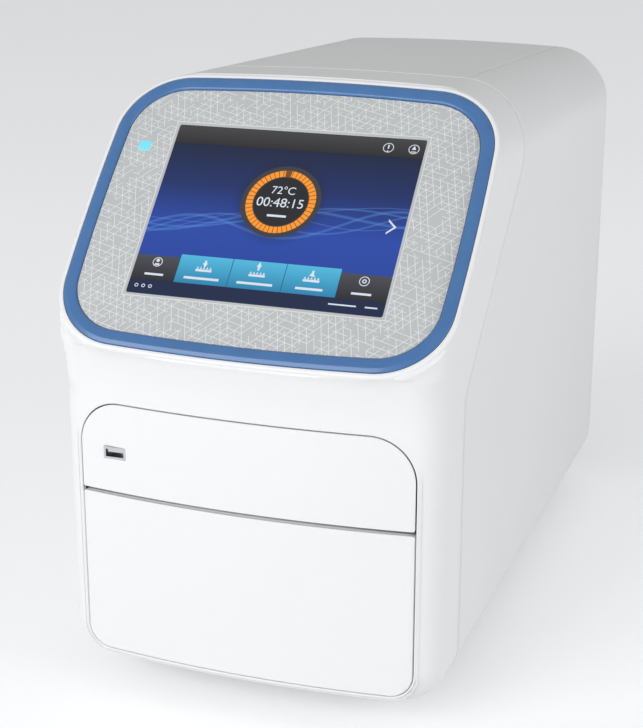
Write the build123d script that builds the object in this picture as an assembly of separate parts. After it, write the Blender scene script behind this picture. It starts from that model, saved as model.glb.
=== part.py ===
from build123d import *
import os
from math import acos, atan, atan2, ceil, copysign, cos, degrees, floor, pi, radians, sin, sqrt, tan

# Bench real-time PCR instrument, all sizes in millimetres.
# X runs to the right, Y to the back, Z up. The origin is on the bench under the middle of the casing.

# Casing
body_width = 262.0
wall = 3.0
foot_height = 18.0
front_y = -246.8
front_bulge_radius = 780.0
front_edge_radius = 20.0
bottom_edge_radius = 28.0
top_edge_radius = 45.0
rear_edge_radius = 8.0
top_crown = 4.0
top_slope_deg = 2.5
seam_gap = 0.6
top_seam_x = 86.0

# Tilted display face
face_y = -178.1
face_z = 319.4
face_tilt_deg = 44.24
rim_half_width = 135.0
rim_half_height = 108.5
rim_corner_radius = 49.5
rim_top_bow = 4.8
rim_side_bow = 3.2
hood_depth = 95.0
hood_taper_deg = 3.3
face_wall = 5.0
recess_depth = 2.2

# Seam between the front moulding and the panels behind it, seen from the side
seam_y = -193.0
seam_bend_z = 216.0
seam_upper_y = -55.0
seam_upper_z = 340.0
seam_top_y = -35.0
seam_lower_radius = 30.0
seam_upper_radius = 20.0

# Trim ring, bezel plate, glass and display
ring_half_width = 131.3
ring_half_height = 104.8
ring_side_width = 8.2
ring_top_width = 9.4
ring_proud = 1.0
ring_bevel_width = 2.2
ring_bevel_drop = 0.8
trim_gap = 0.4
plate_drop = 0.3
glass_width = 172.0
glass_height = 129.4
glass_radius = 3.0
glass_drop = 0.4
ledge_width = 3.0
module_width = 184.0
module_height = 140.0
module_thick = 9.0
bracket_width = 212.0
bracket_height = 160.0
ear_inset = 6.0
sheet = 1.5
boss_radius = 4.0
board_thick = 1.6
display_board_width = 120.0
display_board_height = 80.0
standoff_length = 3.0
standoff_radius = 2.5
light_x = -106.5
light_v = 46.0
light_width = 8.6
light_height = 7.6
light_flange = 1.5

# Front window that holds the drawer front and the fascia above it
window_half_width = 114.5
window_bottom_z = 26.5
window_top_z = 203.0
window_top_radius = 30.0
window_bottom_radius = 16.0
groove_z = 140.5
groove_height = 3.0
groove_edge_radius = 1.2
panel_gap = 0.8
skin = 4.0
return_depth = 12.0
return_wall = 2.5
ledge_reach = 6.0
ledge_thick = 2.5
ledge_bond = 0.5
ledge_corner_radius = 1.0

# Front USB socket
usb_x = -88.4
usb_z = 169.0
usb_width = 15.6
usb_height = 8.2
usb_length = 19.0
usb_mouth_width = 12.6
usb_mouth_height = 5.2
usb_mouth_depth = 12.0
usb_tongue_width = 11.0
usb_tongue_thick = 1.8
usb_proud = 0.5
usb_flange = 3.0
usb_flange_gap = 1.6
socket_clearance = 0.2

# Feet
foot_radius = 12.0
foot_top_radius = 10.0
foot_x = 84.0
foot_front_y = -155.0
foot_rear_y = 190.0

# Inner frame plates and deck
frame_x = 104.0
frame_thick = 2.0
frame_front_y = -190.0
frame_rear_y = 215.0
frame_top_z = 300.0
frame_flange = 14.0
web_clear = 1.6
flange_setback = 20.0
frame_top_front_y = -110.0
frame_hole_shift = 20.0
frame_hole_width = 48.0
frame_hole_height = 46.0
frame_hole_count = 4
frame_hole_z = 135.0
frame_hole_pitch = 75.0
deck_z = 188.0
deck_thick = 3.0
deck_front_y = -170.0
deck_rear_y = 150.0

# Drawer
travel = 190.0
tray_half_width = 86.0
tray_floor_z = 46.0
tray_sheet = 2.0
tray_front_y = -230.0
tray_rear_y = 18.0
tray_top_z = 105.0
drawer_boss_radius = 5.0
drawer_boss_x = 70.0
drawer_boss_z_low = 58.0
drawer_boss_z_high = 92.0
cover_deck_half_width = 90.0
cover_deck_thick = 3.0
cover_deck_skirt = 12.0
skirt_wall = 2.5
cover_deck_rear_y = -30.0
block_lip = 1.5
block_lip_width = 3.0
floor_slot_count = 5
floor_slot_first = 6.0
floor_slot_width = 4.0
floor_slot_length = 60.0
floor_slot_pitch = 11.0

# Guide rails
rail_z = 68.0
rail_height = 20.0
rail_sheet = 1.5
rail_depth = 14.0
rail_gap = 0.3
rail_front_y = -190.0
rail_rear_y = 70.0
inner_rail_rear_y = 50.0

# Rack and pinion
module = 1.5
pinion_teeth = 14
pressure_deg = 20.0
backlash = 0.24
rack_z = 40.0
rack_line_x = 30.0
rack_back = 5.0
pinion_y = -190.0
pinion_thick = 5.5
shaft_radius = 2.5
shaft_gap = 0.05
shaft_seat = 12.0
pinion_lift = 2.0
drawer_motor_size = 42.0

# Sample block, thermal modules and heat sink
block_y = -107.0
block_width = 110.0
block_depth = 74.0
block_height = 16.0
block_top_z = 112.0
block_gap = 0.5
well_pitch = 9.0
well_columns = 12
well_rows = 8
well_top_radius = 2.85
well_bottom_radius = 1.3
well_depth = 13.0
well_sides = 8
peltier_size = 34.0
peltier_thick = 4.0
peltier_pitch_x = 36.0
peltier_pitch_y = 36.0
sink_width = 132.0
sink_depth = 84.0
sink_base = 7.0
fin_thick = 1.6
fin_count = 22
fin_span = 112.0
fin_height = 34.0
sink_post_radius = 3.5
sink_post_x = 61.5
sink_post_y = 36.0

# Small fans behind the heat sink
block_fan_size = 50.0
block_fan_depth = 15.0
block_fan_x = 26.0
block_fan_y = -62.0
fan_wall = 1.8
fan_tip_gap = 1.0
fan_arm = 2.5
blade_count = 7
small_blade_count = 5
blade_thick = 1.0
blade_sweep_deg = 34.0

# Heated cover
heater_width = 122.0
heater_depth = 82.0
heater_thick = 8.0
heater_z = 131.0
heater_window_width = 104.0
heater_window_depth = 68.0
cover_glass_thick = 3.0
carrier_width = 180.0
carrier_front_y = -168.0
carrier_rear_y = -38.0
carrier_z = 142.0
carrier_thick = 5.0
spacer_radius = 4.0
guide_x = 80.0
guide_rod_y = -155.0
guide_rod_radius = 4.0
guide_rod_end_z = 118.0
bush_half = 7.0
bush_height = 20.0
bush_drop = 6.0
screw_y = -50.0
screw_radius = 3.5
screw_end_z = 118.0
pulley_radius = 9.0
pulley_height = 8.0
pulley_lift = 1.0
belt_thick = 1.2
belt_width = 5.0
belt_gap = 0.3
lift_motor_size = 35.0
lift_motor_height = 26.0
lift_motor_post = 5.0

# Optics: hood with fold mirror, light tube with beam splitter, filter wheels, lamp and camera
axis_z = 250.0
hood_half_width = 56.0
hood_wall = 2.5
hood_front_y = -158.0
hood_rear_y = -62.0
mirror_width = 104.0
mirror_length = 116.0
mirror_thick = 4.0
tube_front_height = 96.0
tube_size = 46.0
tube_start_y = -5.0
tube_end_y = 45.0
tube_wall = 2.5
splitter_y = 20.0
splitter_thick = 2.0
splitter_gap = 0.2
light_port_radius = 13.0
collar_wall = 2.0
collar_height = 7.5
wheel_radius = 42.0
wheel_thick = 3.0
filter_count = 6
filter_ring_radius = 30.0
filter_half = 9.0
filter_gap = 0.1
filter_thick = 2.0
wheel_hub_radius = 6.0
wheel_hub_height = 3.0
wheel_gap = 2.0
wheel_shaft_length = 12.0
lamp_plate_z = 290.0
lamp_plate_thick = 2.5
lamp_plate_half_width = 84.0
lamp_plate_front_y = -12.0
lamp_plate_rear_y = 46.0
lamp_radius = 12.0
lamp_tube_height = 27.0
lamp_sink_size = 56.0
lamp_sink_base = 5.0
lamp_fin_count = 9
lamp_fin_height = 24.0
wheel_motor_size = 26.0
wheel_motor_length = 25.0
camera_plate_y = 60.0
camera_plate_thick = 2.5
camera_plate_left_x = -34.0
camera_plate_right_x = 60.0
camera_plate_top_z = 278.0
lens_radius = 12.0
lens_length = 26.0
camera_size = 44.0
camera_length = 34.0
lens_reach = 6.0
lens_cup = 3.0
lens_wall = 2.5

# Power supply, board and rear
psu_left_x = -88.0
psu_width = 92.0
psu_front_y = 80.0
psu_length = 140.0
psu_height = 50.0
psu_slot_count = 9
psu_slot_width = 3.0
psu_slot_length = 60.0
psu_slot_pitch = 9.0
main_board_front_y = 80.0
main_board_bottom_z = 200.0
main_board_height = 86.0
board_standoff = 5.0
rear_lip = 12.0
rear_panel_overlap = 5.0
lan_z = 214.0
lan_width = 16.0
lan_height = 13.6
lan_length = 21.0
lan_mouth_width = 11.8
lan_mouth_height = 8.4
lan_mouth_depth = 13.0
rear_usb_z = 236.0
rear_usb_pitch = 19.0
inlet_x = -78.0
inlet_z = 96.0
inlet_width = 27.0
inlet_height = 20.0
inlet_length = 24.0
inlet_flange_width = 50.0
inlet_flange_height = 62.0
inlet_flange_thick = 1.0
inlet_mouth_width = 24.4
inlet_mouth_height = 16.4
inlet_mouth_depth = 16.0
inlet_chamfer = 4.0
pin_width = 2.0
pin_height = 4.0
pin_length = 14.0
pin_spacing = 7.0
pin_rise = 2.0
switch_rise = 24.0
rocker_width = 10.6
rocker_height = 17.0
rocker_swing_deg = 8.0
rocker_gap = 0.5
rocker_face = 1.6
rocker_dip = 0.9
rocker_depth = 4.0
rocker_sink = 1.0
switch_depth = 12.0
switch_wall = 2.0
rocker_shaft_radius = 1.5
exhaust_size = 92.0
exhaust_depth = 25.0
exhaust_x = 50.0
exhaust_z = 102.0
vent_slot_width = 3.2
vent_slot_pitch = 6.4
grille_rib = 4.0
vent_z = 296.0
vent_row_count = 7
vent_column_count = 3
vent_slot_length = 46.0
vent_column_pitch = 52.0
base_slot_x = 50.0
base_slot_width = 3.0
base_slot_length = 46.0
base_slot_pitch = 8.0
base_slot_count = 11

# Places that follow from the sizes above
half_width = body_width / 2
floor_z = foot_height + wall
tilt = radians(face_tilt_deg)
face_front_y = face_y - rim_half_height * sin(tilt)
rear_y = -face_front_y
rim_top_y = face_y + rim_half_height * sin(tilt)
rim_top_z = face_z + rim_half_height * cos(tilt)
drawer_top_z = groove_z - groove_height / 2
fascia_bottom_z = groove_z + groove_height / 2
front_reach = rim_half_width + 20
rear_inner_y = rear_y - wall
panel_inner_y = rear_inner_y - sheet
block_bottom_z = block_top_z - block_height
peltier_z = block_bottom_z - peltier_thick
sink_base_z = peltier_z - sink_base
deck_top_z = deck_z + deck_thick
tray_floor_top_z = tray_floor_z + tray_sheet
pitch_radius = module * pinion_teeth / 2
pinion_x = rack_line_x - pitch_radius
carrier_top_z = carrier_z + carrier_thick
wheel_reach = wheel_gap + wheel_hub_height + wheel_thick
bulge_drop = front_bulge_radius - sqrt(front_bulge_radius ** 2 - window_half_width ** 2)


def block(x0, x1, y0, y1, z0, z1):
    """A box between two corners."""
    return Pos((x0 + x1) / 2, (y0 + y1) / 2, (z0 + z1) / 2) * Box(x1 - x0, y1 - y0, z1 - z0)


def post(x, y, z0, z1, radius):
    """An upright cylinder from z0 to z1."""
    return Pos(x, y, (z0 + z1) / 2) * Cylinder(radius, z1 - z0)


def hex_post(x, y, z0, z1, radius):
    """An upright six-sided pillar from z0 to z1."""
    return Pos(x, y, z0) * extrude(RegularPolygon(radius, 6), amount=z1 - z0)


def bar_y(x, z, y0, y1, radius):
    """A cylinder along Y."""
    return Pos(x, (y0 + y1) / 2, z) * Rot(90, 0, 0) * Cylinder(radius, y1 - y0)


def side_profile(points, x0, x1):
    """A polygon of (y, z) points seen from the side, carried from x0 to x1."""
    face = make_face(Polyline(*[(0, y, z) for y, z in points], close=True))
    return Pos(x0, 0, 0) * extrude(face, amount=x1 - x0, dir=(1, 0, 0))


def front_outline(half, low_z, high_z, low_radius, high_radius):
    """A rounded outline seen from the front, as a face in the XZ plane."""
    face = make_face(
        Polyline((-half, 0, low_z), (half, 0, low_z), (half, 0, high_z), (-half, 0, high_z), close=True)
    )
    corners = face.vertices().group_by(Axis.Z)
    face = fillet(corners[0], low_radius)
    corners = face.vertices().group_by(Axis.Z)
    return fillet(corners[-1], high_radius)


def front_prism(outline, y0, y1):
    """An outline in the XZ plane carried along Y."""
    return Pos(0, y0, 0) * extrude(outline, amount=y1 - y0, dir=(0, 1, 0))


def face_plane(depth=0.0):
    """The plane of the tilted display face, moved back into the casing by depth."""
    out = Vector(0, -cos(tilt), sin(tilt))
    return Plane(origin=Vector(0, face_y, face_z) - out * depth, x_dir=(1, 0, 0), z_dir=out)


def on_face(sketch, depth0, depth1):
    """A flat outline on the display face, as a slab between two depths under it."""
    return extrude(face_plane(depth1) * sketch, amount=depth1 - depth0)


def squircle(half_w, half_h):
    """The display outline: four bowed sides and four round corners."""
    x = half_w - rim_side_bow
    y = half_h - rim_top_bow
    sides = [
        ThreePointArc((-x, -y), (0, -half_h), (x, -y)),
        ThreePointArc((x, -y), (half_w, 0), (x, y)),
        ThreePointArc((x, y), (0, half_h), (-x, y)),
        ThreePointArc((-x, y), (-half_w, 0), (-x, -y)),
    ]
    face = make_face(Curve(sides))
    return fillet(face.vertices(), rim_corner_radius - (rim_half_width - half_w))


def body_section(y, inset):
    """The casing's outline seen from the front at one place along its length."""
    half = half_width - inset
    low = foot_height + inset
    high = rim_top_z - (y - rim_top_y) * tan(radians(top_slope_deg)) - inset
    lines = [
        Polyline((-half, y, high - top_crown), (-half, y, low), (half, y, low), (half, y, high - top_crown)),
        ThreePointArc((half, y, high - top_crown), (0, y, high), (-half, y, high - top_crown)),
    ]
    face = make_face(Curve(lines))
    corners = face.vertices().group_by(Axis.Z)
    face = fillet(corners[0], bottom_edge_radius - inset)
    corners = face.vertices().group_by(Axis.Z)
    return fillet(corners[-1], top_edge_radius - inset)


def bulge(depth):
    """The upright cylinder whose side is the casing's bowed front, moved in by depth."""
    radius = front_bulge_radius - depth
    return Pos(0, front_y + front_bulge_radius, 0) * Cylinder(radius, 1000)


def casing(inset, face_depth, rounded):
    """The whole casing as one solid form, moved inwards by inset."""
    y0 = front_y - 12
    form = loft([body_section(y0, inset), body_section(rear_y - inset, inset)])
    if rounded:
        rear_edges = [e for e in form.edges() if abs(e.center().Y - rear_y) < 0.1]
        form = fillet(rear_edges, rear_edge_radius)
    form = form & bulge(inset)
    if rounded:
        front_edges = [e for e in form.edges() if e.center().Y < front_y + front_edge_radius]
        form = fillet(front_edges, front_edge_radius)
    rim = squircle(rim_half_width - inset, rim_half_height - inset)
    hood = extrude(face_plane(face_depth) * rim, amount=-hood_depth, taper=hood_taper_deg)
    form = form + hood
    clear = face_plane(face_depth) * Pos(0, 0, 200) * Box(700, 900, 400)
    return form - clear


def seam_front(shift):
    """Everything in front of the seam, moved back by shift."""
    high = rim_top_z + 60
    far = front_y - 100
    points = [
        (far, -40), (seam_y, -40), (seam_y, seam_bend_z), (seam_upper_y, seam_upper_z),
        (seam_top_y, high), (far, high),
    ]
    face = make_face(Polyline(*[(0, y, z) for y, z in points], close=True))
    lower = face.vertices().sort_by_distance((0, seam_y, seam_bend_z))[0]
    face = fillet([lower], seam_lower_radius)
    upper = face.vertices().sort_by_distance((0, seam_upper_y, seam_upper_z))[0]
    face = fillet([upper], seam_upper_radius)
    reach = rim_half_width + 40
    return Pos(-reach, shift, 0) * extrude(face, amount=2 * reach, dir=(1, 0, 0))



def window(low_z, high_z, inset, low_radius, high_radius):
    """A prism through the bowed front, as wide as the front window less inset on each side."""
    outline = front_outline(window_half_width - inset, low_z, high_z, low_radius, high_radius)
    return front_prism(outline, front_y - 20, front_y + 60)


def whole_window(inset):
    """The window for the drawer front and the fascia together."""
    return window(
        window_bottom_z + inset, window_top_z - inset, inset,
        window_bottom_radius - inset, window_top_radius - inset,
    )


def light_hole(gap):
    """The rectangle of the status light on the display face."""
    return Pos(light_x, light_v) * Rectangle(light_width + 2 * gap, light_height + 2 * gap)


def glass_outline(gap):
    """The outline of the touch glass on the display face."""
    return RectangleRounded(glass_width + 2 * gap, glass_height + 2 * gap, glass_radius + gap)


def ledge_outline(gap):
    """The hole through the display face, a ledge narrower than the glass."""
    reach = 2 * (gap - ledge_width)
    return Rectangle(glass_width + reach, glass_height + reach)


def frame_points(half_w, half_v):
    """The four corner places of a rectangle on the display face."""
    return [(x * half_w, v * half_v) for x in (-1, 1) for v in (-1, 1)]


def fascia_ledge():
    """The left half of the ledge round the upper window, which the fascia rests on."""
    zone = window(
        fascia_bottom_z - panel_gap, window_top_z + ledge_reach, -ledge_reach,
        ledge_corner_radius, window_top_radius + ledge_reach,
    )
    hole = window(
        fascia_bottom_z + ledge_reach, window_top_z - ledge_reach, ledge_reach,
        ledge_corner_radius, window_top_radius - ledge_reach,
    )
    ledge = zone & (bulge(wall - ledge_bond) - bulge(skin + ledge_thick)) - hole
    ledge = ledge - (whole_window(0) - bulge(skin))
    return ledge & block(-front_reach, 0, -300, 300, 0, 450)


def front_cover(shell):
    """The front moulding with its display recess, drawer window and fascia ledge."""
    cover = shell & seam_front(0) & block(-front_reach, 0, -300, 300, 0, 450)
    ring_space = squircle(ring_half_width + trim_gap, ring_half_height + trim_gap)
    cover = cover - on_face(ring_space, -10, recess_depth)
    cover = cover - on_face(ledge_outline(0), -10, face_wall + 5)
    cover = cover - whole_window(0)
    cover = cover + fascia_ledge()
    for x, v in frame_points(bracket_width / 2 - ear_inset, bracket_height / 2 - ear_inset):
        if x < 0:
            cover = cover + on_face(Pos(x, v) * Circle(boss_radius), face_wall, face_wall + module_thick)
    cover = cover + mirror(cover, about=Plane.YZ)
    return cover - on_face(light_hole(socket_clearance), -10, face_wall + 5)


def rear_opening(reach, y0, y1):
    """The opening in the back of the casing, grown by reach."""
    low = foot_height + rear_lip - reach
    high = rim_top_z - (rear_y - rim_top_y) * tan(radians(top_slope_deg)) - top_crown - rear_lip + reach
    inset = rear_lip - reach
    outline = front_outline(half_width - inset, low, high, bottom_edge_radius - inset, top_edge_radius - inset)
    return front_prism(outline, y0, y1)


def casing_panels(shell):
    """The left side, right side, top and base panels behind the front moulding."""
    rest = shell - seam_front(seam_gap) - rear_opening(0, rear_inner_y - 1, rear_y + 10)
    half_gap = seam_gap / 2
    left = rest & block(-front_reach, -top_seam_x - half_gap, -300, 300, 0, 450)
    right = mirror(left, about=Plane.YZ)
    middle = top_seam_x - half_gap
    top = rest & block(-middle, middle, -300, 300, foot_height + 150, 450)
    base = rest & block(-middle, middle, -300, 300, 0, foot_height + 150)
    for x in (-0.5, 0.5):
        for k in range(base_slot_count):
            y = (k - (base_slot_count - 1) / 2) * base_slot_pitch
            centre = x * 2 * base_slot_x
            slot = block(
                centre - base_slot_length / 2, centre + base_slot_length / 2,
                y - base_slot_width / 2, y + base_slot_width / 2, 0, floor_z + 5,
            )
            base = base - slot
    return left, right, top, base


def trim_ring():
    """The blue ring between the casing's rim and the bezel plate, bevelled outside."""
    outer = squircle(ring_half_width, ring_half_height)
    inner = squircle(ring_half_width - ring_side_width, ring_half_height - ring_top_width)
    ring = on_face(outer, -ring_proud, recess_depth)
    outer_top = ring.faces().sort_by_distance(face_plane(-ring_proud).origin)[0]
    ring = chamfer(outer_top.edges(), ring_bevel_drop, ring_bevel_width, reference=outer_top)
    return ring - on_face(inner, -ring_proud - 1, recess_depth + 1)


def bezel_plate():
    """The flat plate that frames the screen, with a hole for the status light."""
    half_w = ring_half_width - ring_side_width - trim_gap
    half_h = ring_half_height - ring_top_width - trim_gap
    plate = on_face(squircle(half_w, half_h), plate_drop, recess_depth)
    plate = plate - on_face(glass_outline(trim_gap), -5, recess_depth + 5)
    return plate - on_face(light_hole(socket_clearance), -5, recess_depth + 5)


def touch_glass():
    """The touch glass, resting on the ledge in the display face."""
    return on_face(glass_outline(0), glass_drop, recess_depth)


def display_module():
    """The flat screen behind the glass, with its raised picture area."""
    body = on_face(Rectangle(module_width, module_height), face_wall, face_wall + module_thick)
    return body + on_face(ledge_outline(-socket_clearance), recess_depth, face_wall)


def display_bracket():
    """The sheet frame that clamps the screen to four bosses of the front moulding."""
    depth = face_wall + module_thick
    outline = Rectangle(module_width, bracket_height)
    for x, v in frame_points(bracket_width / 2 - ear_inset, bracket_height / 2 - ear_inset):
        outline = outline + Pos(x, v) * Circle(ear_inset)
        arm = Pos(x - copysign(ear_inset, x), v) * Rectangle(2 * ear_inset, 2 * ear_inset)
        outline = outline + arm
    return on_face(outline, depth, depth + sheet)


def display_board():
    """The screen's driver board on four standoffs."""
    depth = face_wall + module_thick + sheet
    board = on_face(
        Rectangle(display_board_width, display_board_height),
        depth + standoff_length, depth + standoff_length + board_thick,
    )
    for x, v in frame_points(display_board_width / 2 - ear_inset, display_board_height / 2 - ear_inset):
        board = board + on_face(Pos(x, v) * RegularPolygon(standoff_radius, 6), depth, depth + standoff_length)
    return board


def status_light():
    """The clear light pipe of the status light, with a flange behind the face wall."""
    pipe = on_face(light_hole(0), plate_drop, face_wall + light_flange)
    flange = on_face(light_hole(light_flange), face_wall, face_wall + light_flange)
    return pipe + flange


def bowed_panel(low_z, high_z, low_radius, high_radius, gap, form):
    """A piece of the bowed front: a skin with returns round its edge, open behind."""
    outline = window(low_z, high_z, gap, low_radius, high_radius)
    body = outline & form & block(-200, 200, front_y - 5, front_y + return_depth + bulge_drop, 0, 300)
    grow = return_wall
    hollow = window(
        low_z + grow, high_z - grow, gap + grow, max(low_radius - grow, 0.6), max(high_radius - grow, 0.6)
    )
    return body - (hollow & bulge(skin))


def front_sockets_hole(gap):
    """The rectangle that the front USB socket passes through."""
    return block(
        usb_x - usb_width / 2 - gap, usb_x + usb_width / 2 + gap, front_y - 10, front_y + 60,
        usb_z - usb_height / 2 - gap, usb_z + usb_height / 2 + gap,
    )


def upper_fascia(form):
    """The fixed panel above the drawer, on the ledge of the front moulding."""
    low = fascia_bottom_z
    high = window_top_z - panel_gap
    outline = window(low, high, panel_gap, groove_edge_radius, window_top_radius - panel_gap)
    panel = outline & form & block(-200, 200, front_y - 5, front_y + 60, 0, 300)
    panel = panel - bulge(skin)
    return panel - front_sockets_hole(socket_clearance)


def usb_place():
    """How far back the bowed front lies at the front USB socket."""
    radius = front_bulge_radius
    return front_y + radius - sqrt(radius ** 2 - usb_x ** 2)


def usb_socket(width, height, length, mouth_width, mouth_height):
    """A type A socket lying along Y with its mouth at y = 0, facing -Y."""
    body = block(-width / 2, width / 2, 0, length, -height / 2, height / 2)
    mouth = block(
        -mouth_width / 2, mouth_width / 2, -1, usb_mouth_depth, -mouth_height / 2, mouth_height / 2
    )
    tongue = block(
        -usb_tongue_width / 2, usb_tongue_width / 2, 1.5, usb_mouth_depth + 1,
        mouth_height / 2 - usb_tongue_thick - 0.6, mouth_height / 2 - 0.6,
    )
    return (body - mouth) + tongue


def front_usb_socket():
    """The USB socket in the fascia, with a flange that seats behind the skin."""
    y0 = usb_place() - usb_proud
    socket = usb_socket(usb_width, usb_height, usb_length, usb_mouth_width, usb_mouth_height)
    socket = Pos(usb_x, y0, usb_z) * socket
    flange_y = usb_place() + skin + usb_flange_gap
    half_w = usb_width / 2 + usb_flange
    half_h = usb_height / 2 + usb_flange
    flange = block(usb_x - half_w, usb_x + half_w, flange_y, flange_y + sheet, usb_z - half_h, usb_z + half_h)
    half_w = usb_mouth_width / 2 + 0.5
    half_h = usb_mouth_height / 2 + 0.5
    hollow = block(
        usb_x - half_w, usb_x + half_w, flange_y - 1, flange_y + sheet + 1, usb_z - half_h, usb_z + half_h
    )
    return socket + (flange - hollow)


def feet():
    """Four tapered rubber feet."""
    side = Polyline((0, 0, 0), (foot_radius, 0, 0), (foot_top_radius, 0, foot_height), (0, 0, foot_height), close=True)
    foot = revolve(make_face(side), Axis.Z)
    places = [(x, y) for x in (-foot_x, foot_x) for y in (foot_front_y, foot_rear_y)]
    return Compound([Pos(x, y, 0) * foot for x, y in places])


def frame_plate(side):
    """An upright sheet plate with a foot flange, cut back along the display."""
    inner = side * frame_x
    outer = side * (frame_x + frame_thick)
    slope = tan(pi / 2 - tilt)
    notch_z = frame_top_z - (frame_top_front_y - frame_front_y) * slope
    web_z = floor_z + web_clear
    points = [
        (frame_front_y, web_z), (frame_rear_y, web_z), (frame_rear_y, frame_top_z),
        (frame_top_front_y, frame_top_z), (frame_front_y, notch_z),
    ]
    plate = side_profile(points, min(inner, outer), max(inner, outer))
    for k in range(frame_hole_count):
        y = (k - (frame_hole_count - 1) / 2) * frame_hole_pitch + frame_hole_shift
        plate = plate - Pos(inner, y, frame_hole_z) * Box(4 * frame_thick, frame_hole_width, frame_hole_height)
    flange_x = side * (frame_x - frame_flange)
    return plate + block(
        min(flange_x, inner), max(flange_x, inner), frame_front_y + flange_setback, frame_rear_y,
        floor_z, floor_z + frame_thick,
    )


def optics_deck():
    """The plate across the frame that carries the optics, with a light opening and screw holes."""
    deck = block(-frame_x, frame_x, deck_front_y, deck_rear_y, deck_z, deck_top_z)
    deck = deck - block(
        -hood_half_width + hood_wall, hood_half_width - hood_wall, hood_front_y + hood_wall, hood_rear_y,
        deck_z - 1, deck_top_z + 1,
    )
    for x in (-guide_x, guide_x):
        deck = deck - post(x, screw_y, deck_z - 1, deck_top_z + 1, screw_radius + shaft_gap)
    return deck


def mirror_line(y, lift):
    """Height of the 45 degree mirror line at y, raised square to itself by lift."""
    return axis_z + (y - block_y) + lift * sqrt(2)


def hood_form(inset, lift, over):
    """The light hood's side outline: upright front, mirror slope, open back and foot."""
    front = hood_front_y + inset
    rear = hood_rear_y + over
    low = deck_top_z - over
    points = [(front, low), (rear, low), (rear, mirror_line(rear, lift)), (front, mirror_line(front, lift))]
    return side_profile(points, -hood_half_width + inset, hood_half_width - inset)


def light_hood():
    """The hood over the light opening in the deck."""
    outer = hood_form(0, mirror_thick + hood_wall, 0)
    return outer - hood_form(hood_wall, mirror_thick, 1)


def slanted_plate(y, z, width, length, thick):
    """A plate lying along the 45 degree mirror line, its lower face through (y, z)."""
    plate = Pos(0, 0, thick / 2) * Box(width, length, thick)
    return Pos(0, y, z) * Rot(45, 0, 0) * plate


def fold_mirror():
    """The mirror under the hood's slope, turning the light from up to back."""
    return slanted_plate(block_y, axis_z, mirror_width, mirror_length, mirror_thick)


def tube_form(inset):
    """The light tube: a tapered stretch and then a square one."""
    y0 = hood_rear_y
    wide = Plane(origin=(0, y0, axis_z), x_dir=(1, 0, 0), z_dir=(0, -1, 0)) * Rectangle(
        2 * (hood_half_width - inset), tube_front_height - 2 * inset
    )
    narrow = Plane(origin=(0, tube_start_y, axis_z), x_dir=(1, 0, 0), z_dir=(0, -1, 0)) * Rectangle(
        tube_size - 2 * inset, tube_size - 2 * inset
    )
    half = tube_size / 2 - inset
    square = block(-half, half, tube_start_y, tube_end_y + (1 if inset else 0), axis_z - half, axis_z + half)
    return loft([wide.face(), narrow.face()]) + square


def light_tube():
    """The tapered tube from the mirror to the emission wheel, with a port on top for the lamp."""
    tube = tube_form(0) - tube_form(tube_wall)
    top = axis_z + tube_size / 2
    collar = post(0, splitter_y, top - tube_wall, top + collar_height, light_port_radius + collar_wall)
    return (tube + collar) - post(0, splitter_y, axis_z, top + collar_height + 1, light_port_radius)


def beam_splitter():
    """The half mirror in the square part of the tube."""
    inner = tube_size - 2 * tube_wall - 2 * splitter_gap
    length = inner * sqrt(2) - 2 * splitter_thick
    return slanted_plate(splitter_y, axis_z - splitter_thick / sqrt(2), inner, length, splitter_thick)


def filter_places():
    """The filters' centres round a wheel, the first on the +X side."""
    step = 2 * pi / filter_count
    return [(filter_ring_radius * cos(k * step), filter_ring_radius * sin(k * step)) for k in range(filter_count)]


def filter_form(x, y, half, z0, z1):
    """A square turned to face the wheel's middle, carried from z0 to z1."""
    return Pos(x, y, (z0 + z1) / 2) * Rot(0, 0, degrees(atan2(y, x))) * Box(2 * half, 2 * half, z1 - z0)


def filter_wheel():
    """A filter wheel on its shaft, disc from z = 0 up, hub and shaft above it."""
    hub_top = wheel_thick + wheel_hub_height
    wheel = post(0, 0, 0, wheel_thick, wheel_radius) + post(0, 0, 0, hub_top, wheel_hub_radius)
    wheel = wheel + post(0, 0, 0, hub_top + wheel_gap + wheel_shaft_length, shaft_radius)
    for x, y in filter_places():
        wheel = wheel - filter_form(x, y, filter_half, -1, wheel_thick + 1)
    return wheel


def wheel_filters():
    """The square colour filters of one wheel."""
    low = (wheel_thick - filter_thick) / 2
    half = filter_half - filter_gap
    return Compound([filter_form(x, y, half, low, low + filter_thick) for x, y in filter_places()])


def excitation_place():
    """Where the excitation wheel's disc starts: under the lamp plate, beside the light port."""
    return Pos(-filter_ring_radius, splitter_y, lamp_plate_z - wheel_reach)


def emission_place():
    """Where the emission wheel's disc starts: upright behind the tube, shaft to the back."""
    turn = Rot(-90, 0, 0) * Rot(0, 0, 180)
    return Pos(filter_ring_radius, camera_plate_y - wheel_reach, axis_z) * turn


def wheel_motor():
    """A small square motor with a bore for the wheel's shaft, foot at z = 0."""
    half = wheel_motor_size / 2
    body = block(-half, half, -half, half, 0, wheel_motor_length)
    body = chamfer(body.edges().filter_by(Axis.Z), 2.5)
    return body - post(0, 0, -1, wheel_shaft_length, shaft_radius + shaft_gap)


def wheel_motors():
    """The excitation motor on the lamp plate and the emission motor behind its plate."""
    motor = wheel_motor()
    lamp_side = Pos(-filter_ring_radius, splitter_y, lamp_plate_z + lamp_plate_thick) * motor
    camera_side = Pos(filter_ring_radius, camera_plate_y + camera_plate_thick, axis_z) * Rot(-90, 0, 0) * motor
    return Compound([lamp_side, camera_side])


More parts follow.
